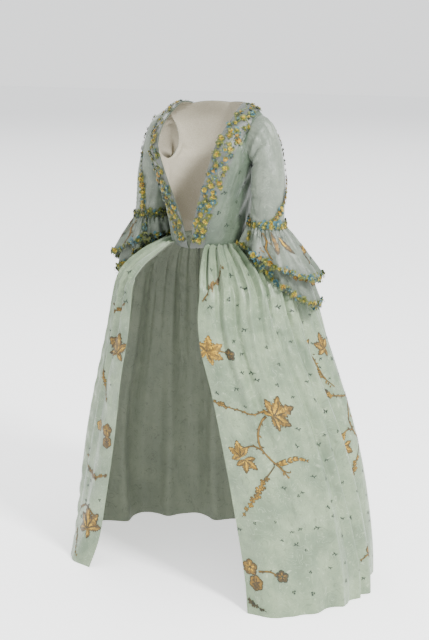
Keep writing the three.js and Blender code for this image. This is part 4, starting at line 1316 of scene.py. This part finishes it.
SLEEVE_HEAD_CREASES = [
    # the gathers of the head
    ((0.08, 0.3), (0.3, 0.36), 6, -4.5),
    ((0.06, 0.42), (0.3, 0.47), 6, -5.0),
    ((0.06, 0.5), (0.26, 0.5), 5, 3.5),
    ((0.06, 0.56), (0.3, 0.56), 6, -5.0),
    ((0.07, 0.66), (0.26, 0.62), 6, -4.5),
    # behind
    ((0.3, 0.9), (0.44, 0.66), 9, -5.5),
    ((0.5, 0.95), (0.62, 0.7), 9, -4.5),
    ((0.7, 0.92), (0.76, 0.66), 8, -3.5),
]
LEFT_SLEEVE_CREASES = [
    # out of the armpit
    ((0.2, 0.1), (0.3, 0.42), 6, -8.0),
    ((0.15, 0.16), (0.19, 0.46), 8, 5.0),
    ((0.27, 0.07), (0.42, 0.3), 5, -6.0),
    ((0.32, 0.04), (0.38, 0.2), 4, 3.0),
    # round the bend of the arm
    ((0.52, 0.03), (0.62, 0.24), 7, -3.0),
    ((0.66, 0.02), (0.7, 0.3), 6, -4.5),
    ((0.73, 0.06), (0.83, 0.26), 5, -4.0),
    ((0.6, 0.12), (0.66, 0.38), 10, 3.0),
    *SLEEVE_HEAD_CREASES,
]
RIGHT_SLEEVE_CREASES = [
    # down the front, towards the elbow
    ((0.3, 0.33), (0.84, 0.36), 9, -4.5),
    ((0.42, 0.24), (0.9, 0.27), 8, -4.0),
    ((0.5, 0.42), (0.92, 0.4), 10, 3.5),
    ((0.62, 0.14), (0.9, 0.2), 7, -4.0),
    ((0.25, 0.14), (0.4, 0.3), 7, -5.0),
    *SLEEVE_HEAD_CREASES,
]
SKIRT_CREASES = [
    ((0.3, 0.04), (0.95, 0.06), 14, 5.0),
    ((0.22, 0.1), (0.8, 0.13), 9, -5.0),
    ((0.45, 0.17), (0.99, 0.185), 14, -6.0),
    ((0.2, 0.2), (0.7, 0.235), 8, 4.5),
    ((0.25, 0.275), (0.95, 0.3), 9, -6.0),
    ((0.3, 0.3), (0.98, 0.33), 8, 5.0),
    ((0.22, 0.36), (0.99, 0.385), 8, -8.0),
    ((0.3, 0.42), (0.97, 0.445), 10, 5.0),
    ((0.25, 0.5), (0.8, 0.515), 9, -5.0),
    ((0.4, 0.58), (0.99, 0.6), 10, -6.0),
    ((0.22, 0.66), (0.75, 0.67), 9, 5.0),
    ((0.35, 0.75), (0.98, 0.76), 9, -6.0),
    ((0.25, 0.83), (0.85, 0.835), 10, 5.0),
    ((0.3, 0.92), (0.97, 0.92), 9, -6.0),
]

# ---------- pieces ----------

# The cut of each cloth as far as it shows: width and length in mm, area in cm2, how it is held, and what
# holds it.
CUTS = {
    "shoulder_strap": dict(width=78, length=87, area=51, held="stretched", on=["front", "side_back"]),
    "front": dict(width=188, length=441, area=546, held="stretched", on=["shoulder_strap", "side_back"]),
    "robing": dict(width=58, length=528, area=257, held="laid", on=["front", "shoulder_strap"]),
    "side_back": dict(width=107, length=389, area=326, held="stretched", on=["front", "back"]),
    "back": dict(width=128, length=392, area=367, held="stretched", on=["side_back"]),
    "sleeve": dict(width=374, length=331, area=752, held="hung", on=["front", "side_back", "shoulder_strap"]),
    "flounce_upper": dict(width=880, length=198, area=690, held="gathered", on=["sleeve"]),
    "flounce_lower": dict(width=855, length=249, area=812, held="gathered", on=["sleeve"]),
    "skirt_front": dict(width=400, length=1120, area=3920, held="gathered", on=["front"]),
    "skirt_side": dict(width=423, length=1120, area=3800, held="gathered", on=["side_back"]),
    "skirt_back": dict(width=345, length=1113, area=3120, held="gathered", on=["back"]),
}

STITCH_EVERY, STITCH_LENGTH = 7.0, 3.4


def piece(ob, slot, *nodes):
    """Puts a piece on the gown, in its slot and in place of the nodes."""
    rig.ride(ob, "root")
    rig.slot(ob, slot)
    if nodes:
        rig.replaces(ob, *nodes)
    return ob


def cloth(node, sheet, outside, inside, mirror, **part):
    """The cloth that takes the place of a node: a sheet or part of one, with its two faces."""
    return piece(wall(f"{node}_cloth", sheet, [outside, inside], mirror, **part), "brocaded_silk", node)


def woven(brocade, part, side):
    """The figures drawn on one cloth, as a piece."""
    return piece(brocade.decor.build(f"{part}_brocade_{side}", BROCADE), "gilt_silk")


def fringed(fringe, part, side):
    """The fringe laid on one part, as a piece that takes the place of its trimming."""
    return piece(fringe.decor.build(f"{part}_fringe_{side}", FLY), "fly_fringe", f"{part}_trim_{side}")


def cut(ob, kind, side, with_pieces=()):
    """States a cloth's cut, what holds it and what is sewn to it."""
    c = CUTS[kind]
    flat = (c["width"] / 1000, c["length"] / 1000)
    holders = [f"{holder}_{side}_cloth" for holder in c["on"]]
    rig.sheet(ob, flat=flat, held=c["held"], rests_on=holders, area=c["area"] / 10000, with_pieces=with_pieces)


def stitched(name, sheet, mirror, columns, lift):
    """Rows of running stitches down columns of a sheet."""
    decor = Decor(mirror)
    down = np.arange(2, len(sheet.points) - 2)
    for column in columns:
        line = np.stack([down, np.full(len(down), column)], -1)
        reach = reach_along(sheet.sample(line[:, 0], line[:, 1], lift)[0])
        for start in np.arange(STITCH_EVERY, reach[-1] - STITCH_EVERY, STITCH_EVERY):
            d = start + np.array([0, 0.5, 1]) * STITCH_LENGTH
            rows, columns_there = points_at(d, reach, line).T
            p, n = sheet.sample(rows, columns_there, lift * np.array([0.4, 1, 0.4]))
            across = 0.4 * unit(np.cross(n, np.gradient(p, axis=0)))
            decor.strip(np.stack([p - across, p + across], 1), 0)
    return piece(decor.build(name, [PALE_GREEN]), "brocaded_silk")


def round_line(row, columns, count):
    """Places all round a closed sheet, along one row."""
    return np.stack([np.full(count, row), np.linspace(0, columns - 0.01, count)], -1)


front = creased(front_sheet(), BODICE_CREASES)
back = creased(back_sheet(), BACK_CREASES)
plain_sleeve = sleeve_sheet()
sleeves = {
    "left": creased(plain_sleeve, LEFT_SLEEVE_CREASES),
    "right": creased(plain_sleeve, RIGHT_SLEEVE_CREASES),
}

# The robing lies on the front and rises a little at its two folded edges.
robing_lift = np.full(front.points.shape[:2], SEAM + CLOTH + 0.5)
robing_lift[:, 0:2] += 0.6
robing_lift[:, ROBING_COLUMNS - 1 : ROBING_COLUMNS + 1] += 0.6


def dress_bodice(side, mirror, rng):
    strap_row, last = STRAP_SECTIONS * FRONT_STEP, len(front.points) - 1
    band, panel, centre = (0, ROBING_COLUMNS), (0, BACK_COLUMNS), (BACK_COLUMNS, 2 * BACK_COLUMNS)
    # the bodice pieces take the darker copy of the silk, with its painted shade
    strap = cloth(f"shoulder_strap_{side}", front, BODICE_SILK_PAINTED_SHADE, LINEN, mirror, rows=(0, strap_row))
    cut(strap, "shoulder_strap", side)
    body = cloth(f"front_{side}", front, BODICE_SILK_PAINTED_SHADE, LINEN, mirror, rows=(strap_row, last))
    # the robing takes the darker copy of the silk, with its painted shade
    robing = cloth(f"robing_{side}", front, ROBING_SILK_PAINTED_SHADE, ROBING_SILK_PAINTED_SHADE, mirror, lift=robing_lift, columns=band)
    side_back = cloth(f"side_back_{side}", back, BODICE_SILK_PAINTED_SHADE, LINEN, mirror, columns=panel)
    middle = cloth(f"back_{side}", back, BODICE_SILK_PAINTED_SHADE, LINEN, mirror, columns=centre)

    figures = []
    for part, sheet, low, high, first in (("front", front, 1010, 1290, 60), ("back", back, 1030, 1370, 10)):
        brocade = Brocade(sheet, mirror, rng)
        brocade.sprigs(58, low, high, first)
        figures.append(woven(brocade, part, side))

    edges = (0.5, ROBING_COLUMNS - 0.5)
    sewn_front = stitched(f"robing_stitches_{side}", front, mirror, edges, SEAM + CLOTH + 1.4)
    seams = (BACK_COLUMNS - 0.6, BACK_COLUMNS + 0.6, 2 * BACK_COLUMNS - 1.0)
    sewn_back = stitched(f"back_stitches_{side}", back, mirror, seams, 0.5)

    fringe = Fringe(mirror, rng)
    rows = np.arange(1, last - 1, 1.0)
    for share, spacing in ((0.28, 15), (0.72, 14)):
        line = np.stack([rows, np.full(len(rows), share * ROBING_COLUMNS)], -1)
        fringe.lay(front, line, spacing, 7.8, FLY_MIX, SEAM + CLOTH + 1.0, wander=0.17 * ROBING_COLUMNS)
    blossoms = fringed(fringe, "robing", side)

    cut(body, "front", side, [figures[0]])
    cut(robing, "robing", side, [blossoms, sewn_front])
    cut(side_back, "side_back", side)
    cut(middle, "back", side, [figures[1], sewn_back])


def dress_sleeve(side, mirror, rng, seed):
    sleeve = sleeves[side]
    # the sleeve takes the darker copy of the silk, with its painted shade
    arm = cloth(f"sleeve_{side}", sleeve, SLEEVE_SILK_PAINTED_SHADE, LINEN, mirror)
    last = len(SLEEVE_RINGS)

    # the line down the sleeve, small above and large and golden below
    fringe = Fringe(mirror, rng)
    shares = SLEEVE_RINGS[:, 6 if side == "left" else 7]
    line = np.stack([np.arange(1, last + 1) * SLEEVE_STEP, shares * SLEEVE_COLUMNS], -1)
    fringe.lay(sleeve, line[:4], 13, 4.8, FLY_SMALL, 0.8)
    fringe.lay(sleeve, line[3:], 12, 8.0, FLY_GOLDEN, 0.8)
    cut(arm, "sleeve", side, [fringed(fringe, "sleeve", side)])

    # two rings round the elbow
    fringe = Fringe(mirror, rng)
    mixture = FLY_MIX if side == "left" else FLY_DARK
    for above_end, radius in ((0.75, 8.5), (0.1, 8.0)):
        line = round_line((last - above_end) * SLEEVE_STEP, SLEEVE_COLUMNS, 60)
        fringe.lay(sleeve, line, 16, radius, mixture, 3.0, down=0.9, scatter=3.0)
    cuff = fringed(fringe, "cuff", side)

    for kind in FLOUNCES:
        sheet = flounce_sheet(kind, seed)
        # the flounce takes the darker copy of the silk, with its painted shade
        flounce = cloth(f"flounce_{kind}_{side}", sheet, FLOUNCE_SILK_PAINTED_SHADE, REVERSE, mirror)
        brocade = Brocade(sheet, mirror, rng)
        brocade_flounce(brocade, kind)
        with_pieces = [woven(brocade, f"flounce_{kind}", side)]
        fringe = Fringe(mirror, rng)
        line = round_line(len(sheet.points) - 2.0, FLOUNCE_COLUMNS, 200)
        droop = np.array([0, 0, -0.5])
        fringe.lay(sheet, line, 17, 8.6, mixture, 0.8, lean=droop, down=1.2, scatter=1.6)
        if kind == "upper":
            line = np.array(FLOUNCE_FRONT) * (1, FLOUNCE_COLUMNS)
            fringe.lay(sheet, line, 13, 8.5, mixture, 2.0, wander=3, down=1.0, scatter=2.0)
            with_pieces.append(cuff)
        with_pieces.append(fringed(fringe, f"flounce_{kind}", side))
        cut(flounce, f"flounce_{kind}", side, with_pieces)


def dress_skirt(side, mirror, rng, seed):
    skirt = creased(skirt_sheet(seed), SKIRT_CREASES)
    brocade = Brocade(skirt, mirror, rng)
    brocade_skirt(brocade, side)
    figures = woven(brocade, "skirt", side)
    for panel, first, last in SKIRT_PANELS:
        columns = (first * COLUMNS_PER_SHARE, last * COLUMNS_PER_SHARE)
        ob = cloth(f"skirt_{panel}_{side}", skirt, SILK, REVERSE, mirror, columns=columns)
        cut(ob, f"skirt_{panel}", side, [figures] if panel == "front" else ())


# Side, whether it is mirrored, and the phase of its waves and pleats.
SIDES = [("left", False, 0.4), ("right", True, 2.1)]
for side, mirror, seed in SIDES:
    rng = np.random.default_rng(int(seed * 10))
    dress_bodice(side, mirror, rng)
    dress_sleeve(side, mirror, rng, seed)
    dress_skirt(side, mirror, rng, seed)

# ---------- floor, light, camera, in metres ----------

FLOOR_Z = (FLOOR - SHOULDER_HEIGHT) / 1000
FLOOR_HALF = 30
FLOOR_NEAR, FLOOR_FAR = (0.94, 0.94, 0.94), (0.83, 0.835, 0.84)
FLOOR_FADE = (2.0, 26.0)  # distances between which the paper fades to the sky's tone
FLOOR_GLOW = 0.9  # painted glow: the paper emits light near the gown, which brightens the floor and lights the gown from below
SKY_COLOUR = (0.95, 0.96, 0.97)
SKY_HORIZON, SKY_OVERHEAD = 1.6, 1.95
SKY_RISE = (0.2, 0.95)  # how high one looks where the sky starts and stops to brighten

# Place, target, size and watts.
LIGHTS = {
    "key": ((3.5, -1.3, 2.6), (0.1, 0, -0.6), 0.7, 450),
    "rim": ((-3.0, 2.0, 1.8), (0, 0, -0.5), 1.6, 40),
}

paper, tree, shader = material("floor_paper", FLOOR_NEAR, 0.9, 0.0, 0.0)
distance = tree.add("VectorMath", {0: tree.add("TexCoord", output="Object")}, "Value", operation="LENGTH")
far = tree.band(distance, *FLOOR_FADE)
tree.feed(shader["Base Color"], tree.mixed(far, FLOOR_NEAR, FLOOR_FAR))
# painted glow: the floor paper emits light near the gown, fading out with distance
tree.feed(shader["Emission Color"], (1, 1, 1))
tree.feed(shader["Emission Strength"], tree.maths("MULTIPLY", tree.maths("SUBTRACT", 1.0, far), FLOOR_GLOW))
corners = np.array([(-1, -1, 0), (1, -1, 0), (1, 1, 0), (-1, 1, 0)], float) * FLOOR_HALF
floor = new_object("floor", corners + (0, 0, FLOOR_Z), [[0, 1, 2, 3]], [paper])
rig.stage(floor)

world = bpy.context.scene.world or bpy.data.worlds.new("studio")
bpy.context.scene.world = world
world.use_nodes = True
sky = Tree(world.node_tree)
background = sky.nodes["Background"].inputs
height = sky.add("SeparateXYZ", {0: sky.add("TexCoord", output="Generated")}, "Z")
overhead = sky.maths("MULTIPLY", sky.band(height, *SKY_RISE), SKY_OVERHEAD - SKY_HORIZON)
sky.feed(background["Color"], SKY_COLOUR)
sky.feed(background["Strength"], sky.maths("ADD", overhead, SKY_HORIZON))

for name, (place, target, size, watts) in LIGHTS.items():
    light = bpy.data.lights.new(name, "AREA")
    light.size = size
    light.energy = watts
    lamp = bpy.data.objects.new(name, light)
    lamp.location = place
    lamp.rotation_mode = "QUATERNION"
    lamp.rotation_quaternion = (Vector(target) - Vector(place)).to_track_quat("-Z", "Y")
    bpy.context.scene.collection.objects.link(lamp)

azimuth, pitch, yaw = (math.radians(CAMERA[k]) for k in ("azimuth", "pitch", "yaw"))
camera_data = bpy.data.cameras.new("camera")
camera_data.sensor_width = 36
camera_data.lens = 36 * CAMERA["focal_px"] / CAMERA["long_side_px"]
camera = bpy.data.objects.new("camera", camera_data)
camera.location = (
    math.sin(azimuth) * CAMERA["distance"] / 1000,
    -math.cos(azimuth) * CAMERA["distance"] / 1000,
    (CAMERA["height"] - SHOULDER_HEIGHT) / 1000,
)
forward = Matrix.Rotation(yaw, 3, "Z") @ Vector((-math.sin(azimuth), math.cos(azimuth), 0))
forward = forward * math.cos(pitch) - Vector((0, 0, math.sin(pitch)))
camera.rotation_mode = "QUATERNION"
camera.rotation_quaternion = forward.to_track_quat("-Z", "Y")
bpy.context.scene.collection.objects.link(camera)
bpy.context.scene.camera = camera

with open("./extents.json", "w") as f:
    json.dump({"cad": [list(c) for c in cad_box], "visual": [list(c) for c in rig.bounds()]}, f)
